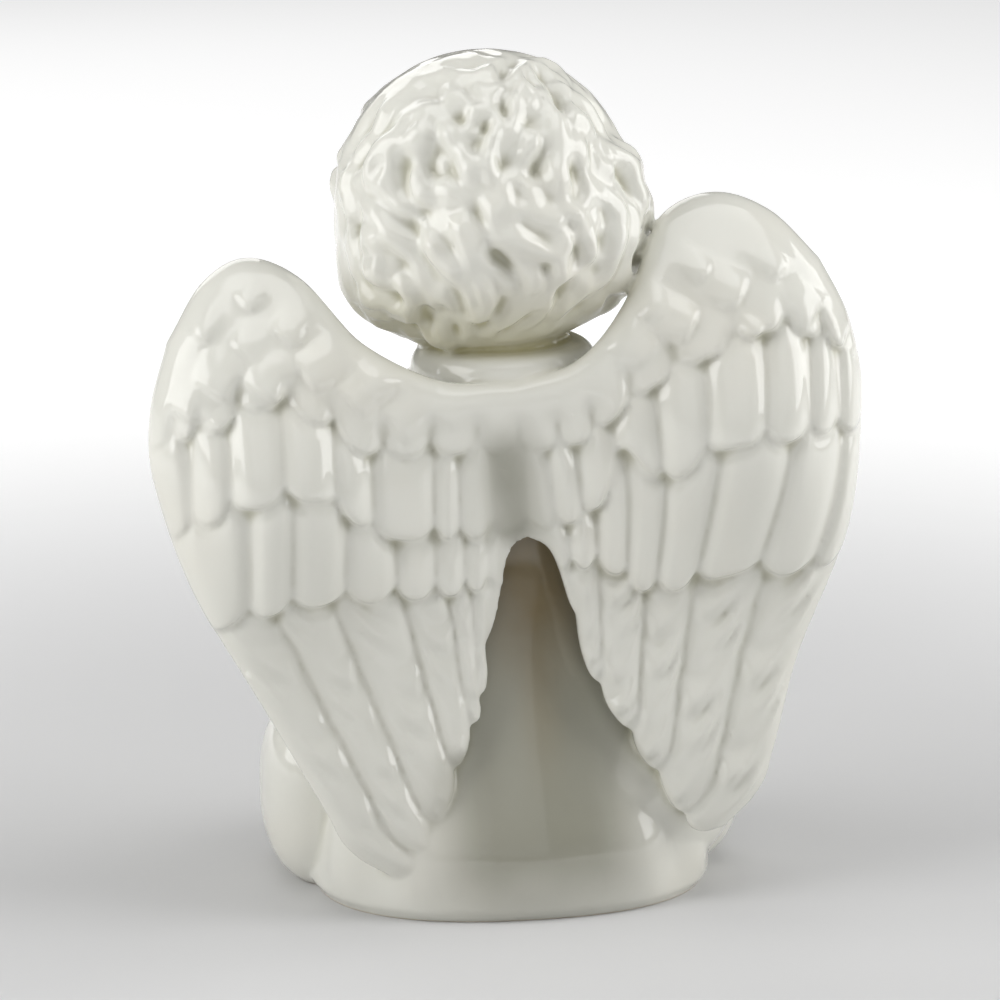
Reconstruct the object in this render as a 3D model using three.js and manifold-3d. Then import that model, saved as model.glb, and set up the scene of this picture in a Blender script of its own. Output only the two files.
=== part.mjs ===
// A glazed ceramic angel child: it sits with crossed legs in a long robe, hands together,
// with curly hair and two large feathered wings that meet across its back.
// Millimetres, +Z up. The figure faces -Y and its left hand side is +X.
// The origin is the middle of the flat underside.

import * as THREE from 'three';
import { mergeVertices } from 'three/addons/utils/BufferGeometryUtils.js';
import Module from 'manifold-3d';

const wasm = await Module();
wasm.setup();

// Robe: height, half width, depth behind and depth in front of the middle, at each level
const ROBE_LEVELS = [
  [0, 37.8, 28.5, 34],
  [2.5, 39.6, 30, 36],
  [14, 39, 29.5, 35],
  [24, 36, 25, 31],
  [34, 31, 20.5, 24],
  [46, 26, 16, 18],
  [60, 23, 12.4, 15.5],
  [72, 24.3, 11.2, 16],
  [82, 26, 13.4, 16.3],
  [90, 27, 15.5, 16.5],
  [99, 22, 14.5, 13.5],
  [106, 12.5, 10.5, 9.5],
];
const ROBE_SQUARENESS = 2.35;   // 2 is an oval, more is squarer
const ROBE_BASE_SHIFT = -0.8;   // the base spreads a little further to the figure's right
const ROBE_SIDES = 48;
const ROBE_RINGS = 14;
const ROBE_RING_SPREAD = 1.15;  // more than 1 brings the rings closer together near the hem
const HEM_ROUNDING = 1.2;       // height of the first ring, where the hem turns under
const ROBE_RADIUS = 30;         // what the depths of the folds are measured against
const FOLDS_TOP = 70;           // the folds fade out from 30 up to here
const FOLDS_FULL = 30;
const BACK_FOLDS = 12;          // faint folds round the robe
const BACK_FOLD_DEPTH = 0.4;
const FRONT_FOLDS = 9;
const FRONT_FOLD_DEPTH = 1.5;
const FRONT_FOLD_SLANT = 0.06;  // radians to a millimetre of height

// Legs under the robe, for the left side; the right side mirrors it
const HIP = [15, 4, 22];
const HIP_RADIUS = 18;
const KNEE = [30, -8, 17.5];
const KNEE_RADII = { left: [17.2, 17, 20], right: [18.6, 17, 19.5] };
const KNEE_SQUARENESS = 2.6;
const SHIN_BEND = [20, -27, 13];
const SHIN_END = [-4, -36, 10];
const SHIN_RADII = [14, 10];    // at the knee and at the ankle

// Neck and collar
const NECK_LEVELS = [[98, 13], [103, 12.6], [109, 12.6], [116, 14.5]];  // height and radius
const NECK_PLACE = [0.8, 1.5];
const NECK_SIDES = 20;
const COLLAR_PLACE = [0.3, 1.5, 103.4];
const COLLAR_RADIUS = 13.3;
const COLLAR_THICKNESS = 4.6;
const COLLAR_TILT = 0.03;

// Head
const HEAD_CENTRE = [3.2, -4, 134.2];
const HEAD_RADII = [28.8, 28.4, 28.2];
const HEAD_ROLL = 0.27;         // leans to its left
const HEAD_PITCH = 0.14;        // looks slightly down
const HEAD_DETAIL = 9;
const CURL_SIZE = 5.9;          // from one curl to the next
const CURL_DEPTH = 2.6;
const CURL_WAVES = 26;
const CURL_DRAW = 0.56;         // less than 1 draws the curls out up and down
const SEAM_CALM = 0.65;         // how much flatter the curls are along the mould's seam
const CROWN_CALM = 0.7;         // and on the crown of the head
const HAIR_FULLNESS = 0.15;     // how much wider the hair grows towards its lower edge
const HAIR_UNDERSIDE = 0.3;     // how far the underside lies in from the ball
const NAPE_DEPTH = 2;           // how much further the hair hangs at the nape
const FACE_SET_BACK = 2.6;      // how far the face lies under the curls
const FACE_WIDTH = 0.62;        // half width of the face opening, over the head radius
const FACE_HEIGHT = 0.74;
const FACE_DROP = 0.3;
const FACE_FORMS = [            // height, place across and up, half width and half height
  [2.2, 10.5, -11, 6.5, 6],     // cheeks
  [2.2, 0, -22.5, 6, 4.2],      // chin
  [1.5, 0, -15, 6.5, 5],        // mouth
  [1, 0, 8, 16, 8],             // forehead
  [1.4, 0, -5, 2.6, 4.5],       // bridge of the nose
  [-1.7, 8.6, -2.5, 4.5, 3.2],  // sockets
];
const NOSE_PLACE = [0, -26.4, -8.4];
const NOSE_RADII = [2.5, 2.9, 2.2];
const EYE_PLACE = [8.6, -22.6, -3.2];
const EYE_RADII = [4.2, 2.4, 2.4];
const LIP_CORNER = [4, -21.6, -15.4];
const LIP_BEND = [2, -22.9];
const LIPS = [{ height: -14.6, thick: 0.9 }, { height: -16.6, thick: 1.1 }];

// Wings, in a flat wing plane (x outwards, z up); the pair then leans to the figure's left
const WING_LEAN = 0.1;
const WING_LEAN_HEIGHT = 86;
const WING_TOP = [
  [0, 0, 103.5],
  [0.2, 13.2, 105.8],
  [0.38, 25.6, 114.8],
  [0.52, 34.8, 127],
  [0.66, 44.9, 131],
  [0.83, 54.6, 127.3],
  [1, 62.6, 117.7],
];
const WING_OUTER = [
  [0, 62.6, 117.7],
  [0.108, 67, 106],
  [0.235, 68.3, 92.3],
  [0.433, 64, 70.9],
  [0.63, 54.1, 49.5],
  [0.85, 43, 25.9],
  [0.94, 38.6, 16.5],
  [1, 33.4, 11.6],
];
const WING_END = [
  [0, 0, 73],
  [0.03, 4, 70],
  [0.063, 6.7, 60],
  [0.155, 9.8, 45],
  [0.31, 14.6, 35],
  [0.53, 19.3, 25.5],
  [0.75, 24.3, 16.8],
  [0.9, 28.8, 12.6],
  [1, 33.4, 11.6],
];
const WING_SPAN = 66;           // width of a wing along its rows of feathers

// What differs between the two wings: shifts of the saddle beside the neck, of a stretch of the
// outer edge (how far, at which height, how long a stretch) and of the tip
const SADDLE_SHIFT = { left: -1.8, right: 2.1 };
const OUTER_SHIFT = { left: [0.5, 100, 12], right: [-1.8, 40, 12] };
const TIP_SHIFT = { left: 0, right: -2 };

// Lower edges of the down and of the two rows of coverts, as x and z in the wing plane
const ROW_EDGES = {
  left: [
    [[0, 91.5], [13, 92], [22, 92.5], [30, 96], [36, 101], [43, 105.5], [56, 103], [68, 100]],
    [[0, 76], [10, 76], [21, 77], [30, 79], [37, 82], [42, 86.5], [46, 88.5], [56, 87], [68, 84]],
    [[0, 66], [10, 66], [22, 65.8], [31, 66.6], [41, 67.9], [52, 67.1]],
  ],
  right: [
    [[0, 92], [10, 92.5], [16, 94.5], [24, 100.5], [31, 104], [43, 107.5], [54, 108.5], [68, 100]],
    [[0, 77], [10, 77.5], [16, 79], [25, 81], [31, 83.5], [37, 87], [51, 88.5], [61, 86], [68, 84]],
    [[0, 68.5], [8, 68], [15, 66.5], [20, 62.5], [27, 61], [38, 63.5], [49, 61.5], [58, 62]],
  ],
};

// Grooves between the feathers of the down, the two rows of coverts and the primaries, as shares
// of the way across the wing
const GROOVES = {
  left: [
    [0, 0.09, 0.17, 0.3, 0.44, 0.56, 0.69, 0.83, 0.94, 1],
    [0, 0.05, 0.128, 0.225, 0.395, 0.495, 0.618, 0.77, 0.895, 1],
    [0, 0.06, 0.14, 0.242, 0.367, 0.552, 0.708, 0.84, 1],
    [0, 0.1, 0.17, 0.24, 0.4, 0.65, 0.83, 1],
  ],
  right: [
    [0, 0.09, 0.19, 0.3, 0.43, 0.59, 0.73, 0.85, 0.95, 1],
    [0, 0.05, 0.13, 0.24, 0.365, 0.508, 0.665, 0.797, 0.9, 1],
    [0, 0.08, 0.17, 0.265, 0.38, 0.55, 0.75, 0.92, 1],
    [0, 0.08, 0.18, 0.35, 0.555, 0.79, 1],
  ],
};
const ARCH_LINE = 0.025;        // a line of the mesh that rounds the arch between the wings
const LINE_GAP = 0.024;         // grooves closer together than this share a line of the mesh
const LINE_REACH = 0.06;        // no two lines are further apart than this
const FEATHER_LIFT = 1.7;       // step at a feather's tip
const FEATHER_DOME = 0.75;      // how far a feather's back falls towards its sides
const FEATHER_GROOVE = 1.05;    // groove between two feathers
const GROOVE_WIDTH = 1.55;
const TIP_ROUNDING = 2.8;       // how far a feather's tip hangs below its corners
const TIP_SHAKE = 1.1;          // how far one tip is above or below the next
const TUCK_DEPTH = 0.7;         // hollow under the tips of the row above
const TUCK_WIDTH = 1.7;
const DOWN_HEIGHT = 24;         // the down thins out this far above its edge
const DOWN_LIFT = 0.9;
const EDGE_SCALLOP = 1.5;       // how far a primary's tip stands out of the inner edge
const WING_SHOULDER = 9;        // thickness at the top
const WING_BLADE = 5;           // thickness of the rest
const WEB_DEPTH = 9;            // extra thickness that ties the wing to the robe

// Arms, hands and feet, for the left side
const SHOULDER = [20, 0, 90];
const UPPER_ARM_BEND = [27, -4, 77];
const ELBOW = [29, -11, 64];
const UPPER_ARM_RADII = [9.5, 9];
const UPPER_ARM_FLATNESS = 0.9;
const SLEEVE_BEND = [18, -20, 69];
const WRIST = [5, -25, 77];
const SLEEVE_WIDTHS = [8, 8.6];
const SLEEVE_DEPTHS = [8.5, 11];
const PALM_BASE = [3.2, -25.5, 74];
const KNUCKLES = [2.9, -28.5, 86];
const FINGERTIPS = [1.9, -29.5, 100];
const PALM_THICKNESSES = [3.2, 2];
const PALM_HALF_WIDTHS = [5.3, 4];
const THUMB = [[4.5, -24, 80], [3.2, -22.8, 88], [1.6, -23.2, 93]];
const THUMB_RADIUS = 1.9;
const FOOT_PLACE = [13, -39, 5.5];
const FOOT_TURN = 0.6;
const SOLE_RADII = [5.4, 9, 4.4];
const TOE_COUNT = 5;
const TOE_SPACING = 2.3;
const TOE_RADII = [1.45, 2.2, 1.6];
const TOE_LIFT = 0.4;
const TOE_STEP = 0.35;          // how much shorter each toe is than the one before
const BIG_TOE = 1.25;           // its size over the other toes'

const GLAZE_COLOUR = 0xf1efe6;

// A smooth curve through pairs of a knot and a value: cubic pieces, with the slope at each knot
// taken from its two neighbours.
function smoothThrough(pairs) {
  const last = pairs.length - 1;
  const slope = (i) => {
    const a = pairs[Math.max(i - 1, 0)];
    const b = pairs[Math.min(i + 1, last)];
    return (b[1] - a[1]) / (b[0] - a[0]);
  };
  return (x) => {
    let i = 0;
    while (i < last - 1 && x > pairs[i + 1][0]) i += 1;
    const [x0, y0] = pairs[i];
    const [x1, y1] = pairs[i + 1];
    const span = x1 - x0;
    const s = THREE.MathUtils.clamp((x - x0) / span, 0, 1);
    const s2 = s * s;
    const s3 = s2 * s;
    return y0 * (2 * s3 - 3 * s2 + 1) + slope(i) * span * (s3 - 2 * s2 + s)
      + y1 * (3 * s2 - 2 * s3) + slope(i + 1) * span * (s3 - s2);
  };
}

const column = (table, index) => smoothThrough(table.map((row) => [row[0], row[index]]));
const mix = THREE.MathUtils.lerp;

// 0 at from, 1 at to, smooth between them; from may be the greater of the two
function smoothstep(from, to, x) {
  const s = THREE.MathUtils.clamp((x - from) / (to - from), 0, 1);
  return s * s * (3 - 2 * s);
}

// Solids from surfaces

function solidOf(geometry) {
  geometry.deleteAttribute('normal');
  geometry.deleteAttribute('uv');
  const merged = mergeVertices(geometry, 1e-4);
  const vertProperties = new Float32Array(merged.attributes.position.array);
  const triVerts = new Uint32Array(merged.index.array);
  return new wasm.Manifold(new wasm.Mesh({ numProp: 3, vertProperties, triVerts }));
}

function surface(points, triangles) {
  const geometry = new THREE.BufferGeometry();
  geometry.setAttribute('position', new THREE.Float32BufferAttribute(points.flat(), 3));
  geometry.setIndex(triangles.flat());
  return geometry;
}

// A solid from rings of points that run anticlockwise seen from the last ring. Both ends close
// on the middle of their ring.
function ringSolid(rings) {
  const sides = rings[0].length;
  const points = rings.flat();
  const triangles = [];
  for (let r = 0; r < rings.length - 1; r += 1) {
    for (let i = 0; i < sides; i += 1) {
      const a = r * sides + i;
      const b = r * sides + ((i + 1) % sides);
      triangles.push([a, b, b + sides], [a, b + sides, a + sides]);
    }
  }
  const middle = (ring) => [0, 1, 2].map((k) => ring.reduce((sum, p) => sum + p[k], 0) / sides);
  const start = points.push(middle(rings[0])) - 1;
  const end = points.push(middle(rings[rings.length - 1])) - 1;
  const lastRing = (rings.length - 1) * sides;
  for (let i = 0; i < sides; i += 1) {
    const next = (i + 1) % sides;
    triangles.push([start, next, i], [end, lastRing + i, lastRing + next]);
  }
  return solidOf(surface(points, triangles));
}

// A tube along a smooth path. radiusAt gives its two half widths from 0 to 1 along it, and both
// ends are rounded off. sideways is the direction of the first half width.
function sweep(stops, radiusAt, { sides = 12, steps = 10, sideways = [1, 0, 0] } = {}) {
  const path = new THREE.CatmullRomCurve3(stops.map((p) => new THREE.Vector3(...p)));
  const rings = [];
  for (let k = 0; k <= steps; k += 1) {
    const turn = Math.PI * k / steps;
    const along = (1 - Math.cos(turn)) / 2;
    const centre = path.getPoint(along);
    const ahead = path.getTangent(along);
    const across = new THREE.Vector3(...sideways);
    across.addScaledVector(ahead, -across.dot(ahead)).normalize();
    const up = new THREE.Vector3().crossVectors(ahead, across);
    const round = Math.max(Math.pow(Math.sin(turn), 0.45), 0.02);
    const [w, h] = radiusAt(along).map((r) => r * round);
    const ring = [];
    for (let i = 0; i < sides; i += 1) {
      const angle = 2 * Math.PI * i / sides;
      const p = centre.clone();
      p.addScaledVector(across, w * Math.cos(angle)).addScaledVector(up, h * Math.sin(angle));
      ring.push(p.toArray());
    }
    rings.push(ring);
  }
  return ringSolid(rings);
}

function ball(centre, radii, detail, turn = [0, 0, 0], squareness = 2) {
  const geometry = new THREE.IcosahedronGeometry(1, detail);
  const position = geometry.attributes.position;
  for (let i = 0; i < position.count; i += 1) {
    const d = [position.getX(i), position.getY(i), position.getZ(i)];
    const size = Math.pow(d.reduce((sum, v) => sum + Math.pow(Math.abs(v), squareness), 0), 1 / squareness);
    position.setXYZ(i, ...d.map((v) => v / size));
  }
  geometry.scale(...radii);
  geometry.applyMatrix4(new THREE.Matrix4().makeRotationFromEuler(new THREE.Euler(...turn)));
  geometry.translate(...centre);
  return solidOf(geometry);
}

// A place or a list of places given for the left side, for either side
const mirrored = ([x, y, z]) => [-x, y, z];
const onSide = (side, point) => (side === 'left' ? point : mirrored(point));
const allOnSide = (side, points) => points.map((point) => onSide(side, point));
const join = (solids) => solids.reduce((whole, solid) => whole.add(solid));

// Robe

function robe() {
  const half = column(ROBE_LEVELS, 1);
  const back = column(ROBE_LEVELS, 2);
  const front = column(ROBE_LEVELS, 3);
  const top = ROBE_LEVELS[ROBE_LEVELS.length - 1][0];
  const power = 2 / ROBE_SQUARENESS;
  const rings = [];
  for (let r = 0; r <= ROBE_RINGS; r += 1) {
    const z = r === 1 ? HEM_ROUNDING : top * Math.pow(r / ROBE_RINGS, ROBE_RING_SPREAD);
    const lower = smoothstep(FOLDS_TOP, FOLDS_FULL, z) * smoothstep(0, 8, z);
    const ring = [];
    for (let i = 0; i < ROBE_SIDES; i += 1) {
      const angle = 2 * Math.PI * i / ROBE_SIDES;
      const c = Math.cos(angle);
      const s = Math.sin(angle);
      const behind = BACK_FOLD_DEPTH * Math.cos(BACK_FOLDS * angle);
      const ripple = Math.cos(FRONT_FOLDS * angle + FRONT_FOLD_SLANT * z);
      const before = FRONT_FOLD_DEPTH * ripple * smoothstep(0.1, -0.6, s);
      const grow = 1 + (behind + before) * lower / ROBE_RADIUS;
      const depth = s > 0 ? back(z) : front(z);
      const x = half(z) * Math.sign(c) * Math.pow(Math.abs(c), power) * grow
        + ROBE_BASE_SHIFT * smoothstep(30, 8, z);
      const y = depth * Math.sign(s) * Math.pow(Math.abs(s), power) * grow;
      ring.push([x, y, z]);
    }
    rings.push(ring);
  }
  return ringSolid(rings);
}

function leg(side) {
  const upright = [0, 0, 1];
  const thigh = sweep(allOnSide(side, [HIP, KNEE]), () => {
    return [HIP_RADIUS, HIP_RADIUS];
  }, { sides: 12, steps: 5, sideways: upright });
  const knee = ball(onSide(side, KNEE), KNEE_RADII[side], 4, [0, 0, 0], KNEE_SQUARENESS);
  const shin = sweep(allOnSide(side, [KNEE, SHIN_BEND, SHIN_END]), (s) => {
    const r = mix(...SHIN_RADII, s);
    return [r, r];
  }, { sides: 10, steps: 8, sideways: upright });
  return join([thigh, knee, shin]);
}

function foot(side) {
  const sole = onSide(side, FOOT_PLACE);
  const turn = side === 'left' ? FOOT_TURN : -FOOT_TURN;
  const biggest = side === 'left' ? 0 : TOE_COUNT - 1;
  const solids = [ball(sole, SOLE_RADII, 2, [0, 0, turn])];
  for (let i = 0; i < TOE_COUNT; i += 1) {
    const across = (i - (TOE_COUNT - 1) / 2) * TOE_SPACING;
    const reach = SOLE_RADII[1] - TOE_STEP * Math.abs(i - biggest);
    const x = sole[0] + Math.cos(turn) * across + Math.sin(turn) * reach;
    const y = sole[1] + Math.sin(turn) * across - Math.cos(turn) * reach;
    const size = i === biggest ? BIG_TOE : 1;
    solids.push(ball([x, y, sole[2] + TOE_LIFT], TOE_RADII.map((r) => r * size), 0, [0, 0, turn]));
  }
  return join(solids);
}

// Arms and hands

function arm(side) {
  const sideways = [0, 1, 0];
  const upper = sweep(allOnSide(side, [SHOULDER, UPPER_ARM_BEND, ELBOW]), (s) => {
    const r = mix(...UPPER_ARM_RADII, s);
    return [r, r * UPPER_ARM_FLATNESS];
  }, { sides: 10, steps: 6, sideways });
  const sleeve = sweep(allOnSide(side, [ELBOW, SLEEVE_BEND, WRIST]), (s) => {
    return [mix(...SLEEVE_WIDTHS, s), mix(...SLEEVE_DEPTHS, s)];
  }, { sides: 12, steps: 8, sideways });
  return upper.add(sleeve);
}

function hand(side) {
  const palm = sweep(allOnSide(side, [PALM_BASE, KNUCKLES, FINGERTIPS]), (s) => {
    return [mix(...PALM_THICKNESSES, s), mix(...PALM_HALF_WIDTHS, s)];
  }, { sides: 10, steps: 8 });
  const thumb = sweep(allOnSide(side, THUMB), () => {
    return [THUMB_RADIUS, THUMB_RADIUS];
  }, { sides: 6, steps: 5 });
  return palm.add(thumb);
}

// Neck and collar

function neck() {
  return ringSolid(NECK_LEVELS.map(([z, r]) => {
    return Array.from({ length: NECK_SIDES }, (_, i) => {
      const angle = 2 * Math.PI * i / NECK_SIDES;
      return [NECK_PLACE[0] + r * Math.cos(angle), NECK_PLACE[1] + r * Math.sin(angle), z];
    });
  }));
}

function collar() {
  const geometry = new THREE.TorusGeometry(COLLAR_RADIUS, COLLAR_THICKNESS, 8, 28);
  geometry.rotateY(COLLAR_TILT);
  geometry.translate(...COLLAR_PLACE);
  return solidOf(geometry);
}

// Head

// Even waves in many directions, spread by the golden angle, add up to a field whose ridges
// wander like short curls.
const GOLDEN_ANGLE = 2.399963;
const curlWaves = Array.from({ length: CURL_WAVES }, (_, k) => {
  const height = 1 - 2 * (k + 0.5) / CURL_WAVES;
  const flat = Math.sqrt(1 - height * height);
  const stretch = 2 * Math.PI / CURL_SIZE;
  return {
    x: stretch * flat * Math.cos(GOLDEN_ANGLE * k),
    y: stretch * flat * Math.sin(GOLDEN_ANGLE * k),
    z: stretch * height * CURL_DRAW,
    phase: 7.13 * k * k,
  };
});

// Round backed curls with steep pits between them, from 0 in a pit to 1 on a curl
function curls(x, y, z) {
  const wave = (w) => Math.cos(w.x * x + w.y * y + w.z * z + w.phase);
  const sum = curlWaves.reduce((total, w) => total + wave(w), 0);
  const s = THREE.MathUtils.clamp((sum * Math.sqrt(2 / CURL_WAVES) + 1.6) / 3.4, 0, 1);
  return 1 - (1 - s) * (1 - s);
}

// 1 on the face, 0 on the hair, for a direction from the middle of the head
function faceShare(dx, dy, dz) {
  const oval = Math.hypot(dx / FACE_WIDTH, (dz + FACE_DROP) / FACE_HEIGHT);
  return dy < 0 ? smoothstep(1.12, 0.92, oval) : 0;
}

// Soft forms of a child's face, in millimetres outwards, at a place across and up from its middle
function faceForm(x, z) {
  return FACE_FORMS.reduce((sum, [height, x0, z0, wide, tall]) => {
    const away = Math.pow((Math.abs(x) - x0) / wide, 2) + Math.pow((z - z0) / tall, 2);
    return sum + height * Math.exp(-away);
  }, 0);
}

const headTurn = new THREE.Matrix4().makeRotationFromEuler(new THREE.Euler(HEAD_PITCH, HEAD_ROLL, 0));

function onHead(x, y, z) {
  return new THREE.Vector3(x, y, z).applyMatrix4(headTurn).toArray().map((v, k) => v + HEAD_CENTRE[k]);
}

function skull() {
  const geometry = new THREE.IcosahedronGeometry(1, HEAD_DETAIL);
  const position = geometry.attributes.position;
  for (let i = 0; i < position.count; i += 1) {
    const d = [position.getX(i), position.getY(i), position.getZ(i)];
    const face = faceShare(...d);
    const under = smoothstep(-0.7, -0.95, d[2]);
    const full = 1 + HAIR_FULLNESS * smoothstep(0.2, -0.6, d[2]) * (1 - face);
    const p = d.map((v, k) => v * HEAD_RADII[k] * (k < 2 ? full : 1));
    const seam = 1 - SEAM_CALM * smoothstep(0.4, 0, Math.abs(d[1]));
    const crown = 1 - CROWN_CALM * smoothstep(0.7, 0.95, d[2]);
    const hair = CURL_DEPTH * (curls(...p) - 0.72) * seam * crown * (1 - face) * (1 - under);
    const nape = NAPE_DEPTH * smoothstep(-0.65, -0.92, d[2]) * smoothstep(-0.1, 0.35, d[1]);
    const skin = (faceForm(p[0], p[2]) - FACE_SET_BACK) * face;
    const reach = hair + nape + skin - HAIR_UNDERSIDE * under;
    position.setXYZ(i, ...onHead(...p.map((v, k) => v + d[k] * reach)));
  }
  return solidOf(geometry);
}

// A calm child's features: a small nose, closed eyes and lips
function features() {
  const tilt = [HEAD_PITCH, HEAD_ROLL, 0];
  const solids = [ball(onHead(...NOSE_PLACE), NOSE_RADII, 1, tilt)];
  for (const side of ['left', 'right']) {
    solids.push(ball(onHead(...onSide(side, EYE_PLACE)), EYE_RADII, 1, tilt));
  }
  for (const { height, thick } of LIPS) {
    const half = [LIP_CORNER, [...LIP_BEND, height]];
    const line = [...allOnSide('right', half), ...half.reverse()];
    solids.push(sweep(line.map((p) => onHead(...p)), () => [thick, thick + 0.4], { sides: 6, steps: 8 }));
  }
  return join(solids);
}

// Wings

const topX = column(WING_TOP, 1);
const topZ = column(WING_TOP, 2);
const outerX = column(WING_OUTER, 1);
const outerZ = column(WING_OUTER, 2);
const endX = column(WING_END, 1);
const endZ = column(WING_END, 2);

// The lines of the mesh across one wing: one in each groove, those close together sharing one,
// and more between them where they are far apart
function wingLines(side) {
  const grooves = GROOVES[side].slice(1).flat().sort((a, b) => a - b);
  const lines = [0, ARCH_LINE];
  for (const place of grooves) {
    const clear = place - lines[lines.length - 1] >= LINE_GAP && 1 - place >= LINE_GAP;
    if (clear) lines.push(place);
  }
  const ends = [...lines.slice(1), 1];
  const all = lines.flatMap((start, i) => {
    const parts = Math.ceil((ends[i] - start) / LINE_REACH);
    return Array.from({ length: parts }, (_, k) => mix(start, ends[i], k / parts));
  });
  return [...all, 0.985, 1];
}

const LINES = { left: wingLines('left'), right: wingLines('right') };

// The grooves of each row, moved to the nearest line of the mesh
function onLines(side) {
  const nearest = (place) => LINES[side].reduce((best, line) => {
    return Math.abs(line - place) < Math.abs(best - place) ? line : best;
  });
  return GROOVES[side].map((row) => row.map(nearest));
}

const CARVED = { left: onLines('left'), right: onLines('right') };

// Which feather of a row a place is on, how far across it from -1 to 1, and how many
// millimetres from the nearer groove
function onFeather(side, row, across) {
  const grooves = CARVED[side][row];
  let i = 0;
  while (i < grooves.length - 2 && across > grooves[i + 1]) i += 1;
  const width = grooves[i + 1] - grooves[i];
  const u = 2 * (across - grooves[i]) / width - 1;
  return { i, u, groove: (1 - Math.abs(u)) / 2 * width * WING_SPAN };
}

const fallAway = (u) => Math.pow(Math.abs(u), 2.4);
const bell = (x) => Math.exp(-x * x);

// A place in the wing plane from across (0 at the middle, 1 at the outer edge) and along
// (0 at the top, 1 at the lower edge): a patch blended from its four edges.
function wingPlane(side, across, along) {
  const blend = (top, outer, end, middle) => {
    const edges = mix(top(across), end(across), along) + mix(middle(along), outer(along), across);
    const corners = mix(mix(top(0), top(1), across), mix(end(0), end(1), across), along);
    return edges - corners;
  };
  const x = blend(topX, outerX, endX, () => 0);
  const z = blend(topZ, outerZ, endZ, (s) => mix(WING_TOP[0][2], WING_END[0][2], s));
  const tipShape = 0.65 - fallAway(onFeather(side, 3, across).u);
  const out = EDGE_SCALLOP * tipShape * smoothstep(0.8, 1, along) * smoothstep(0.04, 0.1, across);
  const saddle = SADDLE_SHIFT[side] * bell((x - 31) / 13) * Math.pow(1 - along, 2);
  const [shift, height, reach] = OUTER_SHIFT[side];
  const rim = shift * bell((z - height) / reach) * smoothstep(30, 60, x);
  const tip = TIP_SHIFT[side] * smoothstep(22, 12, z);
  return [x + rim + tip - 0.65 * saddle - out * 0.75, z + 0.76 * saddle - out * 0.65];
}

const rowCurves = {
  left: ROW_EDGES.left.map(smoothThrough),
  right: ROW_EDGES.right.map(smoothThrough),
};

// Height of a row's lower edge at a place, each feather's tip rounded and hung a little higher
// or lower than the next
function rowEdge(side, row, x, across) {
  const { i, u } = onFeather(side, row, across);
  const hang = TIP_ROUNDING * (0.5 - fallAway(u)) + TIP_SHAKE * Math.sin(2.3 * i + row);
  return rowCurves[side][row](x) - hang;
}

// How far the carved back stands out at a place: row by row from the primaries up, each feather
// falls away to a groove at its sides, rises towards its tip and is tucked under the row above.
function feathers(side, across, x, z) {
  const edges = [0, 1, 2].map((row) => rowEdge(side, row, x, across));
  const back = (row) => {
    const { u, groove } = onFeather(side, row, across);
    return -FEATHER_DOME * fallAway(u) - FEATHER_GROOVE * bell(groove / GROOVE_WIDTH);
  };
  const tuck = (edge) => TUCK_DEPTH * bell(Math.max(edge - z, 0) / TUCK_WIDTH);
  let height = back(3) - tuck(edges[2]);
  for (const row of [2, 1, 0]) {
    const high = row > 0 ? edges[row - 1] : edges[0] + DOWN_HEIGHT;
    const rise = THREE.MathUtils.clamp((high - z) / (high - edges[row]), 0, 1);
    const above = z - edges[0];
    const relief = row > 0 ? back(row) - tuck(high)
      : back(0) * smoothstep(9, 2, above) + DOWN_LIFT * smoothstep(DOWN_HEIGHT, 4, above);
    const upper = FEATHER_LIFT * mix(0.25, 1, rise) + relief;
    height = mix(height, upper, smoothstep(edges[row] - 0.7, edges[row], z));
  }
  return height;
}

// Depth of the middle of the wing's thickness
function wingMiddle(x, z) {
  const swell = 5.5 * bell((x - 44) / 17) * bell((z - 88) / 22);
  const lean = 15 * Math.pow(Math.max(z - 92, 0) / 38, 2) * smoothstep(0, 34, x);
  const sweepForward = 9 * Math.pow(Math.max(x - 50, 0) / 21, 2) * smoothstep(45, 85, z);
  return 19.6 + 5 * smoothstep(60, 18, z) + swell - lean - sweepForward;
}

// Thickness behind and in front of the wing's middle; the web in front ties it to the robe
function wingThickness(x, z) {
  const shoulder = smoothstep(95, 122, z) * smoothstep(8, 30, x);
  const half = mix(WING_BLADE, WING_SHOULDER, shoulder) / 2;
  const web = WEB_DEPTH * bell((x - 20) / 9) * smoothstep(12, 26, z) * smoothstep(100, 84, z);
  return [half, half + web + 2.5 * smoothstep(12, 0, x)];
}

// The lower edge is found along each line of the patch, so that the mesh follows the feathers' tips
function alongAt(side, across, row) {
  let low = 0;
  let high = 1;
  for (let i = 0; i < 30; i += 1) {
    const half = (low + high) / 2;
    const [x, z] = wingPlane(side, across, half);
    if (z > rowEdge(side, row, x, across)) low = half;
    else high = half;
  }
  return (low + high) / 2;
}

// Every third place from first to last, with both ends
function everyThird(first, last) {
  const places = [];
  for (let i = first; i < last - 1; i += 3) places.push(i);
  return [...places, last];
}

// The points round a block of the grid, each with its place from 0 to 4 round the whole grid
function loopRound(index, is, js, last, end) {
  const point = (i, j, at) => ({ index: index[i][j], at });
  const [iLow, iHigh, jLow, jHigh] = [is[0], is[is.length - 1], js[0], js[js.length - 1]];
  return [
    ...is.slice(0, -1).map((i) => point(i, jLow, i / last)),
    ...js.slice(0, -1).map((j) => point(iHigh, j, 1 + j / end)),
    ...is.slice(1).reverse().map((i) => point(i, jHigh, 3 - i / last)),
    ...js.slice(1).reverse().map((j) => point(iLow, j, 4 - j / end)),
  ];
}

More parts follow.
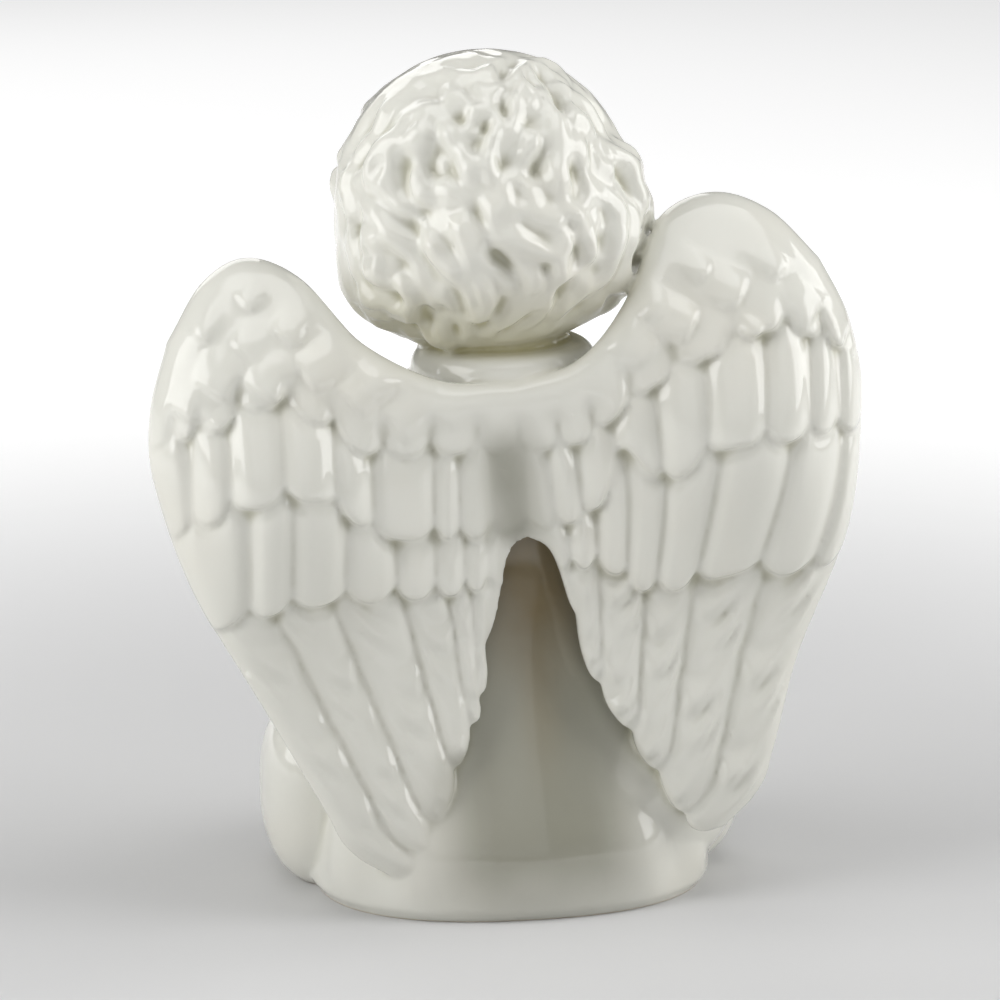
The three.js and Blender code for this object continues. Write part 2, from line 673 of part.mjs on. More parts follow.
// Triangles that close the band between two such loops, seen from the front
function band(outer, inner) {
  const triangles = [];
  let i = 0;
  let j = 0;
  while (i < outer.length || j < inner.length) {
    const here = [outer[i % outer.length], inner[j % inner.length]];
    const next = [outer[(i + 1) % outer.length], inner[(j + 1) % inner.length]];
    const reach = [i + 1 < outer.length ? next[0].at : 4, j + 1 < inner.length ? next[1].at : 4.01];
    if (j >= inner.length || (i < outer.length && reach[0] <= reach[1])) {
      triangles.push([here[0].index, here[1].index, next[0].index]);
      i += 1;
    } else {
      triangles.push([here[0].index, here[1].index, next[1].index]);
      j += 1;
    }
  }
  return triangles;
}

function wingRows(side, across) {
  const [a, b, c] = [0, 1, 2].map((row) => alongAt(side, Math.min(across, 0.97), row));
  const rows = [0, 0.012, 0.035];
  const between = (from, to, count) => {
    for (let i = 1; i <= count; i += 1) rows.push(mix(from, to, i / count));
  };
  const step = 0.012;
  between(0.035, a, 3);
  between(a + step, b, 3);
  between(b + step, c, 3);
  between(c + step, 0.955, 5);
  rows.push(0.985, 1);
  return rows;
}

function wings() {
  const lineOf = (side) => (across) => wingRows(side, across).map((along) => {
    const [x, z] = wingPlane(side, across, along);
    const middle = wingMiddle(x, z);
    const [behind, before] = wingThickness(x, z);
    const lift = feathers(side, across, x, z);
    return { x: side === 'left' ? x : -x, z, middle, behind, before, lift };
  });
  const right = LINES.right.slice(1).reverse().map(lineOf('right'));
  const grid = [...right, ...LINES.left.map(lineOf('left'))];
  const last = grid.length - 1;
  const end = grid[0].length - 1;
  const points = [];
  const place = (p, y) => {
    const c = Math.cos(WING_LEAN);
    const s = Math.sin(WING_LEAN);
    const up = p.z - WING_LEAN_HEIGHT;
    return points.push([p.x * c + up * s, y, WING_LEAN_HEIGHT - p.x * s + up * c]) - 1;
  };
  const rim = (i, j) => i === 0 || j === 0 || i === last || j === end;
  const fullness = (i, j) => {
    const fromRim = Math.min(i, j, last - i, end - j);
    return fromRim === 1 ? 0.72 : 1;
  };
  const backIndex = grid.map((row, i) => row.map((p, j) => {
    return place(p, rim(i, j) ? p.middle : p.middle + (p.behind + p.lift) * fullness(i, j));
  }));
  const frontIndex = grid.map((row, i) => row.map((p, j) => {
    return rim(i, j) ? backIndex[i][j] : place(p, p.middle - p.before * fullness(i, j));
  }));
  const triangles = [];
  for (let i = 0; i < last; i += 1) {
    for (let j = 0; j < end; j += 1) {
      const [a, b] = [backIndex[i][j], backIndex[i + 1][j]];
      const [c, d] = [backIndex[i + 1][j + 1], backIndex[i][j + 1]];
      triangles.push([a, b, c], [a, c, d]);
    }
  }
  const is = everyThird(1, last - 1);
  const js = everyThird(1, end - 1);
  is.slice(1).forEach((i, m) => js.slice(1).forEach((j, n) => {
    const [a, b] = [frontIndex[is[m]][js[n]], frontIndex[i][js[n]]];
    const [c, d] = [frontIndex[i][j], frontIndex[is[m]][j]];
    triangles.push([a, c, b], [a, d, c]);
  }));
  const all = (count) => Array.from({ length: count + 1 }, (_, k) => k);
  const rimLoop = loopRound(frontIndex, all(last), all(end), last, end);
  triangles.push(...band(rimLoop, loopRound(frontIndex, is, js, last, end)));
  return solidOf(surface(points, triangles));
}

// The whole figure, cut flat underneath

function figure() {
  const pieces = [robe(), neck(), collar(), skull(), features(), wings()];
  for (const side of ['left', 'right']) pieces.push(leg(side), foot(side), arm(side), hand(side));
  const below = new THREE.BoxGeometry(200, 200, 50);
  below.translate(0, 0, -25);
  const whole = join(pieces).subtract(solidOf(below));
  const { vertProperties, triVerts } = whole.getMesh();
  const geometry = new THREE.BufferGeometry();
  geometry.setAttribute('position', new THREE.BufferAttribute(vertProperties, 3));
  geometry.setIndex(new THREE.BufferAttribute(triVerts, 1));
  return geometry;
}

const glaze = new THREE.MeshStandardMaterial({ color: GLAZE_COLOUR, roughness: 0.15, metalness: 0 });
const statue = new THREE.Mesh(figure(), glaze);
statue.name = 'angel_figurine';

const part = new THREE.Group();
part.add(statue);
export default part;
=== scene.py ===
"""A small white glazed ceramic angel child, seated in a long robe and seen from behind.

The figure faces -Y and its left hand side is +X. Shapes are worked out in millimetres and put
into their meshes in metres.
"""

import math

import bmesh
import bpy
import numpy as np
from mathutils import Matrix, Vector


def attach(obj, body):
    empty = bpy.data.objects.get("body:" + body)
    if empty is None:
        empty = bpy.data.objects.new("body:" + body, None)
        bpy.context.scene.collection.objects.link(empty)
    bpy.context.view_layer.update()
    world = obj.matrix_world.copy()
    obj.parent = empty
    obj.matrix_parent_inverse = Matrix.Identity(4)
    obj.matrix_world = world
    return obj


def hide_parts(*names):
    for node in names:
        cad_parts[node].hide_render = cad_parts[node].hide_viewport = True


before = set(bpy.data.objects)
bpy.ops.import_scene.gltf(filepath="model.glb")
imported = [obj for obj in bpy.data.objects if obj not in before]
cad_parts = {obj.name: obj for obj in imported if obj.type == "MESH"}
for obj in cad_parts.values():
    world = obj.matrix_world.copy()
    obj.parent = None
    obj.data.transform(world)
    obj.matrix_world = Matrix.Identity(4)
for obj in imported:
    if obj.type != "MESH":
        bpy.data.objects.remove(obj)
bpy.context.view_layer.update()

MM = 0.001

# Robe: height, half width, depth behind and depth in front of the middle, at each level
ROBE_LEVELS = [
    (-3, 37.8, 28.5, 34),
    (0, 37.8, 28.5, 34),
    (2.5, 39.6, 30, 36),
    (14, 39, 29.5, 35),
    (24, 36, 25, 31),
    (34, 31, 20.5, 24),
    (46, 26, 16, 18),
    (60, 23, 12.4, 15.5),
    (72, 24.3, 11.2, 16),
    (82, 26, 13.4, 16.3),
    (90, 27, 15.5, 16.5),
    (99, 22, 14.5, 13.5),
    (106, 12.5, 10.5, 9.5),
]
ROBE_SQUARENESS = 2.35
ROBE_BASE_SHIFT = -0.8
FOLD_RADIUS = 30
BACK_FOLDS = 12
BACK_FOLD_DEPTH = 0.5
FRONT_FOLDS = 9
FRONT_FOLD_DEPTH = 1.5

# Legs under the robe, for the left side
HIP = (15, 4, 22)
HIP_RADIUS = 18
KNEE = (30, -8, 17.5)
KNEE_RADII = {1: (17.2, 17, 20), -1: (18.6, 17, 19.5)}
KNEE_SQUARENESS = 2.6
SHIN_BEND = (20, -27, 13)
SHIN_END = (-4, -36, 10)
SHIN_RADII = (14, 10)
SHIN_FOLD_DEPTH = 0.022

# Fullness of the robe behind the right knee
SKIRT_PLACE = (-20, 3, 18)
SKIRT_RADII = (26, 21, 20)

# Neck and collar
NECK_LEVELS = [(98, 13), (103, 12.6), (109, 12.6), (116, 14.5)]
NECK_PLACE = (0.8, 1.5)
COLLAR_PLACE = (0.3, 1.5, 103.4)
COLLAR_RADIUS = 13.3
COLLAR_THICKNESS = 4.6
COLLAR_TILT = 0.03

# Head
HEAD_CENTRE = (3.2, -4, 134.2)
HEAD_RADII = (28.8, 28.4, 28.2)
HEAD_ROLL = 0.27
HEAD_PITCH = 0.14
CURL_SIZE = 6.2
CURL_DEPTH = 2.2
SMALL_CURL_SIZE = 4.1
SMALL_CURL_DEPTH = 1.5
CURL_DRAW = 0.56
CURL_WAVES = 26
LOCK_SIZE = 12
LOCK_DEPTH = 0.55
FINE_CURL_SIZE = 3
FINE_CURL_DEPTH = 0.15
SEAM_CALM = 0.82
CROWN_CALM = 0.7
HAIR_FULLNESS = 0.15
HAIR_UNDERSIDE = 0.3
NAPE_DEPTH = 2.0
SIDE_HAIR = {1: 0.9, -1: 2.2}
SIDE_HAIR_PLACE = (0.8, -0.5)
SIDE_HAIR_SPREAD = (0.3, 0.26)
CROWN_HAIR = 0.4
FACE_SET_BACK = 2.6
FACE_WIDTH = 0.62
FACE_HEIGHT = 0.74
FACE_DROP = 0.3
NOSE_PLACE = (0, -25.9, -8.6)
NOSE_RADII = (2.4, 2.4, 1.9)
EYE_PLACE = (8.6, -22.6, -3.2)
EYE_RADII = (4.2, 2.4, 2.4)
MOUTH_CORNER = (4, -21.7, -15.4)
LIP_FRONT = (2, -23.2)
LIPS = ((-14.4, 1.1), (-16.7, 1.3))

# Wings: outlines in a flat plane, as (share of the way along, x, z). Most of these points, and
# most of the places in the tables of row edges, grooves and down leaves below, were worked out
# by scratch programs from places picked in the photograph, and some were then moved by hand.
# The wings' lean and the camera's angles, lens and shift come from the same work.
WING_LEAN = 0.1
WING_LEAN_HEIGHT = 86
WING_TOP = [
    (0, 0, 103.5),
    (0.2, 13.2, 105.8),
    (0.38, 25.6, 114.8),
    (0.52, 34.8, 127),
    (0.66, 44.9, 131),
    (0.83, 54.6, 127.3),
    (1, 62.6, 117.7),
]
WING_OUTER = [
    (0, 62.6, 117.7),
    (0.108, 67, 106),
    (0.235, 68.3, 92.3),
    (0.433, 64, 70.9),
    (0.63, 54.1, 49.5),
    (0.85, 43, 25.9),
    (0.94, 38.6, 16.5),
    (1, 33.4, 11.6),
]
WING_END = [
    (0, 0, 73),
    (0.03, 4, 70),
    (0.063, 6.7, 60),
    (0.155, 9.8, 45),
    (0.31, 14.6, 35),
    (0.53, 19.3, 25.5),
    (0.75, 24.3, 16.8),
    (0.9, 28.8, 12.6),
    (1, 33.4, 11.6),
]
WING_SPAN = 66
WING_DEPTH = 19.6

# What differs between the left (1) and the right (-1) wing: shifts of the saddle beside the
# neck, of a stretch of the outer edge and of the tip
SADDLE_SHIFT = {1: -1.8, -1: 2.1}
OUTER_SHIFT = {1: 0.5, -1: -1.8}
OUTER_SHIFT_HEIGHT = {1: 100, -1: 40}
OUTER_SHIFT_REACH = {1: 12, -1: 12}
TIP_SHIFT = {1: 0, -1: -2.0}

# Feathers: the lower edge of the down and of the two rows of coverts, as (x, z)
ROW_EDGES = {
    1: [
        [(0, 92.5), (14, 94), (22, 94.3), (30, 97), (38, 104), (47, 107.3), (56, 104.6), (68, 100.5)],
        [
            *((0, 76.5), (13, 77), (23, 79), (29, 80.5), (34, 84.5)),
            *((40, 89.5), (52, 89.7), (59, 86.6), (68, 83)),
        ],
        [(0, 66), (13, 66.3), (22, 67), (31, 67.3), (41, 69), (51, 67.8), (60, 65.4)],
    ],
    -1: [
        [(0, 92), (10, 92.5), (16, 94.5), (24, 100.5), (31, 104), (43, 107.5), (54, 108.5), (68, 100)],
        [(0, 77), (10, 77.5), (14, 80), (17, 86), (20, 90), (26, 83), (34, 86.5), (41, 89), (68, 87)],
        [(0, 68.5), (8, 68), (15, 66.5), (20, 62.5), (27, 61), (38, 63.5), (49, 61.5), (58, 62)],
    ],
}

# Grooves between the feathers of the down, the coverts and the primaries, as shares of the
# way across the wing. On the left wing all but the primaries hang straight down, and their
# grooves are shares of the span.
GROOVES = {
    1: [
        (0, 0.12, 0.255, 0.394, 0.523, 0.648, 0.786, 0.9, 0.967, 1.1),
        (0, 0.1, 0.2, 0.27, 0.45, 0.55, 0.69, 0.84, 0.947, 1.1),
        (0, 0.13, 0.2, 0.284, 0.4, 0.548, 0.7, 0.821, 1.1),
        (0, 0.1, 0.17, 0.24, 0.4, 0.65, 0.83, 1),
    ],
    -1: [
        (0, 0.09, 0.19, 0.3, 0.43, 0.59, 0.73, 0.85, 0.95, 1),
        (0, 0.05, 0.13, 0.24, 0.365, 0.508, 0.665, 0.797, 0.9, 1),
        (0, 0.08, 0.17, 0.265, 0.38, 0.55, 0.75, 0.92, 1),
        (0, 0.08, 0.18, 0.35, 0.555, 0.79, 1),
    ],
}
PRIMARIES = 3
FEATHER_LIFT = 1.7
FEATHER_DOME = 0.75
FEATHER_ROUNDNESS = 2.4
FEATHER_GROOVE = 0.85
GROOVE_WIDTH = 1.8
PRIMARY_GROOVE = 0.75
TIP_ROUNDING = 2.8
TIP_SHAKE = 0.4
TUCK_DEPTH = 1.0
TUCK_WIDTH = 2.2
EDGE_SCALLOP = 1.5
WING_SHOULDER = 9
WING_BLADE = 5
WEB_DEPTH = 9
RIM_ROUNDING = 4.2
DOWN_LIFT = 1.7
DOWN_EDGE_LIFT = 1.1
DOWN_HEIGHT = 24
DOWN_SEED = {1: 11, -1: 23}
DOWN_SLANT = (0.55, 1.15)
LEAF_LENGTH = 11
LEAF_WIDTH = 3.9

# Leaf-shaped feathers of the down: place of the tip (x, z) and size
DOWN_LEAVES = {
    1: [
        (56.7, 109.9, 1),
        (49.7, 115.6, 0.9),
        (47.2, 108.7, 1.1),
        (61.5, 105, 0.8),
        (38.7, 110.5, 1),
        (41.9, 117.5, 0.8),
        (31, 104.5, 1),
        (57.5, 119.5, 0.7),
        (48, 124, 0.6),
        (27.3, 106.3, 0.8),
        (23.4, 98.7, 1),
        (14.5, 99, 0.9),
    ],
    -1: [
        (44.8, 114.6, 1),
        (52.4, 109, 1.1),
        (34.2, 109.9, 1),
        (25.4, 105.5, 1),
        (46.9, 107.1, 0.8),
        (58.6, 109, 1),
        (29.2, 113, 0.8),
        (20.2, 97.5, 0.9),
        (64.5, 103.3, 0.8),
        (60, 97.5, 1),
        (53, 117.5, 0.7),
        (39, 119, 0.7),
    ],
}

# Hollow down the middle of the back, and what differs in the left (1) and right (-1) wing
SPINE_HOLLOW = 2.8
SPINE_PLACE = 2.5
SPINE_WIDTH = 5.5
INNER_SHIFT = {1: 2.2, -1: 0}
BARB_DEPTH = {1: 0.4, -1: 0.7}
BARB_SPACING = 6.5
BARB_SLANT = 8

# Arms and hands, for the left side
SHOULDER = (20, 0, 90)
UPPER_BEND = (27, -4, 77)
ELBOW = (29, -11, 64)
SLEEVE_BEND = (18, -20, 69)
WRIST = (5, -25, 77)
UPPER_RADII = (9.5, 9)
SLEEVE_WIDTHS = (8, 8.6)
SLEEVE_HEIGHTS = (8.5, 11)
SLEEVE_FOLD_DEPTH = 0.028
PALM_BASE = (3.2, -25.5, 74)
KNUCKLES = (2.9, -28.5, 86)
FINGERTIPS = (1.9, -29.5, 100)
HAND_WIDTH = 8.5
HAND_THICKNESS = 3.2
FINGER_GROOVE = 0.16
THUMB_STOPS = [(4.5, -24, 80), (3.2, -22.8, 88), (1.6, -23.2, 93)]
THUMB_RADIUS = 1.9

# Feet, for the left side
FOOT_PLACE = (13, -39, 5.5)
FOOT_LENGTH = 9
FOOT_TURN = 0.6
SOLE_WIDTH = 5.4
SOLE_HEIGHT = 4.4
SOLE_SQUARENESS = 2.8
TOE_COUNT = 5
TOE_SPACING = 2.1
TOE_RADII = (1.45, 2.2, 1.6)
BIG_TOE = 1.25

# Casting and glaze
CASTING_GRAIN = 0.5
FLOW_ROUNDS = 6
HOLLOW_PULL = 0.6
RIDGE_PULL = 0.22
POOL_ROUNDS = 30
PIECE_TRIANGLES = 195000

# Camera: the photograph's view, from behind and a little to the figure's left
VIEW_TURN = 9.6
VIEW_RISE = 13.8
VIEW_DISTANCE = 0.8
VIEW_TARGET = (0, 0, 0.075)
VIEW_LENS = 148.75
VIEW_FILM = 36
VIEW_SHIFT = (-0.004, 0.0045)


def smoothstep(start, end, x):
    """0 at start, 1 at end, 3s^2 - 2s^3 between them; start may be the greater."""
    s = np.clip((x - start) / (end - start), 0, 1)
    return s * s * (3 - 2 * s)


def mix(a, b, s):
    """a at s = 0, b at s = 1, straight between them."""
    return a + (b - a) * s


def smooth_through(rows, column=1):
    """A curve through the table's values: cubic pieces, the slope at a knot being that of the
    line between its two neighbours."""
    knots = np.array([row[0] for row in rows], float)
    values = np.array([row[column] for row in rows], float)
    last = len(knots) - 1
    low = np.maximum(np.arange(last + 1) - 1, 0)
    high = np.minimum(np.arange(last + 1) + 1, last)
    slopes = (values[high] - values[low]) / (knots[high] - knots[low])

    def curve(x):
        x = np.asarray(x, float)
        i = np.clip(np.searchsorted(knots, x) - 1, 0, last - 1)
        span = knots[i + 1] - knots[i]
        s = np.clip((x - knots[i]) / span, 0, 1)
        s2, s3 = s * s, s**3
        return (
            values[i] * (2 * s3 - 3 * s2 + 1)
            + slopes[i] * span * (s3 - 2 * s2 + s)
            + values[i + 1] * (3 * s2 - 2 * s3)
            + slopes[i + 1] * span * (s3 - s2)
        )

    return curve


def ring_shell(rings):
    """Points and triangles of a closed surface: rings of points (ring, place, 3), each joined
    to the next, with both ends drawn together at the middle of their ring."""
    count, sides = rings.shape[:2]
    r, i = np.meshgrid(np.arange(count - 1), np.arange(sides), indexing="ij")
    a = (r * sides + i).ravel()
    b = (r * sides + (i + 1) % sides).ravel()
    walls = np.concatenate(
        [np.stack([a, b, b + sides], 1), np.stack([a, b + sides, a + sides], 1)]
    )
    start = count * sides
    place = np.arange(sides)
    after = (place + 1) % sides
    top = (count - 1) * sides
    ends = np.concatenate(
        [
            np.stack([np.full(sides, start), after, place], 1),
            np.stack([np.full(sides, start + 1), top + place, top + after], 1),
        ]
    )
    middles = np.stack([rings[0].mean(0), rings[-1].mean(0)])
    return np.concatenate([rings.reshape(-1, 3), middles]), np.concatenate([walls, ends])


def turn_matrix(x, y, z):
    """Turns about X, Y and Z, in radians, as one matrix, the Z turn first."""
    cx, sx, cy, sy, cz, sz = (f(v) for v in (x, y, z) for f in (math.cos, math.sin))
    about_x = np.array([[1, 0, 0], [0, cx, -sx], [0, sx, cx]])
    about_y = np.array([[cy, 0, sy], [0, 1, 0], [-sy, 0, cy]])
    about_z = np.array([[cz, -sz, 0], [sz, cz, 0], [0, 0, 1]])
    return about_x @ about_y @ about_z


def sweep(stops, radii, sides=48, steps=40, sideways=(1, 0, 0)):
    """A tube along a smooth path: radii(along, angle) gives the two half widths, times
    sin(turn)^0.45 so that both ends are rounded off; along = (1 - cos turn) / 2."""
    stops = np.array(stops, float)
    turn = np.linspace(0, math.pi, steps + 1)
    along = (1 - np.cos(turn)) / 2
    share = np.linspace(0, 1, len(stops))
    path = [smooth_through(np.stack([share, stops[:, k]], 1)) for k in range(3)]
    centre = np.stack([f(along) for f in path], 1)
    near = np.clip(np.stack([along - 0.01, along + 0.01]), 0, 1)
    ahead = np.stack([f(near[1]) - f(near[0]) for f in path], 1)
    ahead /= np.linalg.norm(ahead, axis=1)[:, None]
    across = np.array(sideways, float) - (ahead @ np.array(sideways, float))[:, None] * ahead
    across /= np.linalg.norm(across, axis=1)[:, None]
    up = np.cross(ahead, across)
    angle = 2 * math.pi * np.arange(sides) / sides
    round_off = np.maximum(np.sin(turn), 0.0001)[:, None] ** 0.45
    wide, high = radii(along[:, None], angle[None, :])
    wide = (wide * round_off * np.cos(angle))[:, :, None]
    high = (high * round_off * np.sin(angle))[:, :, None]
    return ring_shell(centre[:, None] + across[:, None] * wide + up[:, None] * high)


def sphere_directions(sides, levels):
    """Unit directions (level, side, 3): sin(tilt) round the Z axis and -cos(tilt) along it."""
    tilt = np.linspace(0, math.pi, levels + 2)[1:-1, None]
    angle = 2 * math.pi * np.arange(sides)[None, :] / sides
    flat = np.sin(tilt)
    up = -np.cos(tilt) + 0 * angle
    return np.stack([flat * np.cos(angle), flat * np.sin(angle), up], -1)


def ball(centre, radii, turn=(0, 0, 0), squareness=2.0, sides=48, levels=32):
    """Directions over (|x|^q + |y|^q + |z|^q)^(1/q), times the radii, turned and moved."""
    d = sphere_directions(sides, levels)
    size = (np.abs(d) ** squareness).sum(-1) ** (1 / squareness)
    points = d / size[..., None] * np.array(radii, float)
    return ring_shell(points @ turn_matrix(*turn).T + np.array(centre, float))


def mirrored(point, side):
    """The point for the left (1) or the right (-1) side."""
    return (side * point[0], point[1], point[2])


def robe():
    """Levels of the squared oval half |cos|^(2/q), depth |sin|^(2/q), grown by
    1 + (back folds cos(12 angle) + front folds cos(9 angle + wander)) / fold radius, where
    the front folds wander by 0.06 z + 0.5 sin(0.09 z)."""
    z = np.concatenate([np.linspace(-3, 6, 24), np.linspace(6.5, 106, 180)])[:, None]
    angle = 2 * math.pi * np.arange(300)[None, :] / 300
    c, s = np.cos(angle), np.sin(angle)
    half, back, front = (smooth_through(ROBE_LEVELS, k)(z) for k in (1, 2, 3))
    power = 2 / ROBE_SQUARENESS
    lower = smoothstep(74, 34, z) * smoothstep(0, 8, z)
    behind = BACK_FOLD_DEPTH * np.cos(BACK_FOLDS * angle) * lower
    wander = FRONT_FOLDS * angle + 0.06 * z + 0.5 * np.sin(0.09 * z)
    before = FRONT_FOLD_DEPTH * np.cos(wander) * smoothstep(0.1, -0.6, s) * lower
    grow = 1 + (behind + before) / FOLD_RADIUS
    x = half * np.sign(c) * np.abs(c) ** power * grow + ROBE_BASE_SHIFT * smoothstep(30, 8, z)
    y = np.where(s > 0, back, front) * np.sign(s) * np.abs(s) ** power * grow
    return ring_shell(np.stack([x, y, z + 0 * x], -1))


def leg(side):
    """A thigh, a squared knee and a shin that narrows evenly, with cloth folds
    1 + 0.022 cos(5 angle + 9 along) round the shin."""
    thigh = sweep(
        [mirrored(HIP, side), mirrored(KNEE, side)],
        lambda along, angle: (HIP_RADIUS + 0 * along * angle,) * 2,
        sideways=(0, 0, 1),
    )
    knee = ball(mirrored(KNEE, side), KNEE_RADII[side], (0, 0, 0), KNEE_SQUARENESS, 90, 60)

    def cloth(along, angle):
        r = mix(*SHIN_RADII, along) * (1 + SHIN_FOLD_DEPTH * np.cos(5 * angle + 9 * along))
        return r, r

    stops = [mirrored(p, side) for p in (KNEE, SHIN_BEND, SHIN_END)]
    return [thigh, knee, sweep(stops, cloth, 80, 60, (0, 0, 1))]


def foot(side):
    """A sole and five toes side by side, the inner one the largest."""
    x, y, z = FOOT_PLACE
    turn = side * FOOT_TURN
    sole = (side * x, y, z)
    radii = (SOLE_WIDTH, FOOT_LENGTH, SOLE_HEIGHT)
    shells = [ball(sole, radii, (0, 0, turn), SOLE_SQUARENESS)]
    biggest = 0 if side > 0 else TOE_COUNT - 1
    for i in range(TOE_COUNT):
        across = (i - (TOE_COUNT - 1) / 2) * TOE_SPACING
        big = BIG_TOE if i == biggest else 1
        reach = FOOT_LENGTH - 0.9 - 0.5 * abs(i - biggest)
        place = (
            sole[0] + math.cos(turn) * across + math.sin(turn) * reach,
            sole[1] + math.sin(turn) * across - math.cos(turn) * reach,
            z + 0.4,
        )
        toe = [radius * big for radius in TOE_RADII]
        shells.append(ball(place, toe, (0, 0, turn), 2, 24, 16))
    return shells


def arm(side):
    """An upper arm and a sleeve that widens to the wrist, with folds across it:
    radius times 1 + 0.028 cos(15 along + 2 sin angle) sin(pi along)."""

    def upper(along, angle):
        r = mix(*UPPER_RADII, along) + 0 * angle
        return r, r * 0.9

    def sleeve(along, angle):
        waves = np.cos(15 * along + 2 * np.sin(angle))
        fold = 1 + SLEEVE_FOLD_DEPTH * waves * np.sin(math.pi * along)
        return mix(*SLEEVE_WIDTHS, along) * fold, mix(*SLEEVE_HEIGHTS, along) * fold

    above = [mirrored(p, side) for p in (SHOULDER, UPPER_BEND, ELBOW)]
    below = [mirrored(p, side) for p in (ELBOW, SLEEVE_BEND, WRIST)]
    return [sweep(above, upper, sideways=(0, 1, 0)), sweep(below, sleeve, 72, 60, (0, 1, 0))]


def hand(side):
    """A flat palm that narrows to the fingertips; towards them grooves
    1 - 0.16 |cos(2 angle)|^6 part the fingers. A thumb lies behind it."""

    def palm(along, angle):
        groove = np.abs(np.cos(2 * angle)) ** 6
        fingers = 1 - FINGER_GROOVE * smoothstep(0.45, 0.7, along) * groove
        wide = HAND_THICKNESS * mix(1, 0.62, along) * fingers
        high = HAND_WIDTH * 0.62 * (1 - 0.25 * along) + 0 * angle
        return wide, high

    def thumb(along, angle):
        r = THUMB_RADIUS + 0 * along * angle
        return r, r

    stops = [mirrored(p, side) for p in (PALM_BASE, KNUCKLES, FINGERTIPS)]
    thumb_stops = [mirrored(p, side) for p in THUMB_STOPS]
    return [sweep(stops, palm), sweep(thumb_stops, thumb, 24, 20)]


def neck():
    """A round column through the neck's levels."""
    z = np.linspace(NECK_LEVELS[0][0], NECK_LEVELS[-1][0], 30)[:, None]
    angle = 2 * math.pi * np.arange(96)[None, :] / 96
    r = smooth_through(NECK_LEVELS)(z)
    x = NECK_PLACE[0] + r * np.cos(angle)
    y = NECK_PLACE[1] + r * np.sin(angle)
    return ring_shell(np.stack([x, y, z + 0 * x], -1))


def collar():
    """A rolled ring: radius + thickness cos(b) round the Z axis, thickness sin(b) along it."""
    a, b = np.meshgrid(
        np.linspace(0, 2 * math.pi, 161)[:-1], np.linspace(0, 2 * math.pi, 49)[:-1], indexing="ij"
    )
    out = COLLAR_RADIUS + COLLAR_THICKNESS * np.cos(b)
    up = COLLAR_THICKNESS * np.sin(b)
    points = np.stack([out * np.cos(a), out * np.sin(a), up], -1)
    points = points @ turn_matrix(0, COLLAR_TILT, 0).T + np.array(COLLAR_PLACE)
    rows, sides = a.shape
    i, j = np.meshgrid(np.arange(rows), np.arange(sides), indexing="ij")
    index = lambda p, q: ((p % rows) * sides + q % sides).ravel()
    p, q, r, s = index(i, j), index(i + 1, j), index(i + 1, j + 1), index(i, j + 1)
    triangles = np.concatenate([np.stack([p, q, r], 1), np.stack([p, r, s], 1)])
    return points.reshape(-1, 3), triangles


def curl_field(points, size, waves, start=0):
    """Even waves in directions spread by the golden angle, summed to a field of about unit
    spread; its ridges wander like short curls, drawn out up and down."""
    k = np.arange(waves)
    height = 1 - 2 * (k + 0.5) / waves
    flat = np.sqrt(1 - height**2)
    around = 2.399963 * k + start
    ways = np.stack([flat * np.cos(around), flat * np.sin(around), height * CURL_DRAW], 1)
    phase = 7.13 * k * k + start
    return np.cos(points @ (ways.T * 2 * math.pi / size) + phase).sum(-1) * math.sqrt(2 / waves)


def curls(p):
    """Curls 1 - (1 - s)^2, s rising with the curl field from the steep pits between them to
    their round backs, over broader locks, with a finer field for their unevenness."""
    bend = np.sin(p[..., [2, 0, 1]] * 0.17 + p[..., [1, 2, 0]] * 0.11 + np.array([1.0, 2.6, 4.1]))
    q = p + 2.2 * bend
    locks = curl_field(q, LOCK_SIZE, 14, 1.3)
    sizes = ((CURL_SIZE, 0), (SMALL_CURL_SIZE, 2))
    layers = [curl_field(q, size, CURL_WAVES, start) for size, start in sizes]
    s = np.clip((np.array(layers) + 1.6) / 3.4, 0, 1)
    big, small = 1 - (1 - s) ** 2
    fine = np.tanh(1.4 * curl_field(q, FINE_CURL_SIZE, CURL_WAVES, 0.7))
    curl = CURL_DEPTH * (big - 0.72) + SMALL_CURL_DEPTH * (small - 0.72)
    return curl + LOCK_DEPTH * locks + FINE_CURL_DEPTH * fine


def face_form(x, z):
    """Gentle rises and hollows of a calm child's face, each height exp(-(dx/w)^2 - (dz/t)^2),
    the same on both sides."""

    def bump(height, x0, z0, wide, tall):
        return height * np.exp(-(((np.abs(x) - x0) / wide) ** 2) - ((z - z0) / tall) ** 2)

    return (
        bump(2.2, 10.5, -11, 6.5, 6)
        + bump(2.2, 0, -22.5, 6, 4.2)
        + bump(1.5, 0, -15, 6.5, 5)
        + bump(1, 0, 8, 16, 8)
        + bump(2.2, 0, -5.5, 2.6, 5)
        - bump(1.7, 8.6, -2.5, 4.5, 3.2)
    )


def on_head(points):
    """Points of the upright head, tilted and put in place."""
    turned = np.asarray(points, float) @ turn_matrix(HEAD_PITCH, HEAD_ROLL, 0).T
    return turned + np.array(HEAD_CENTRE)


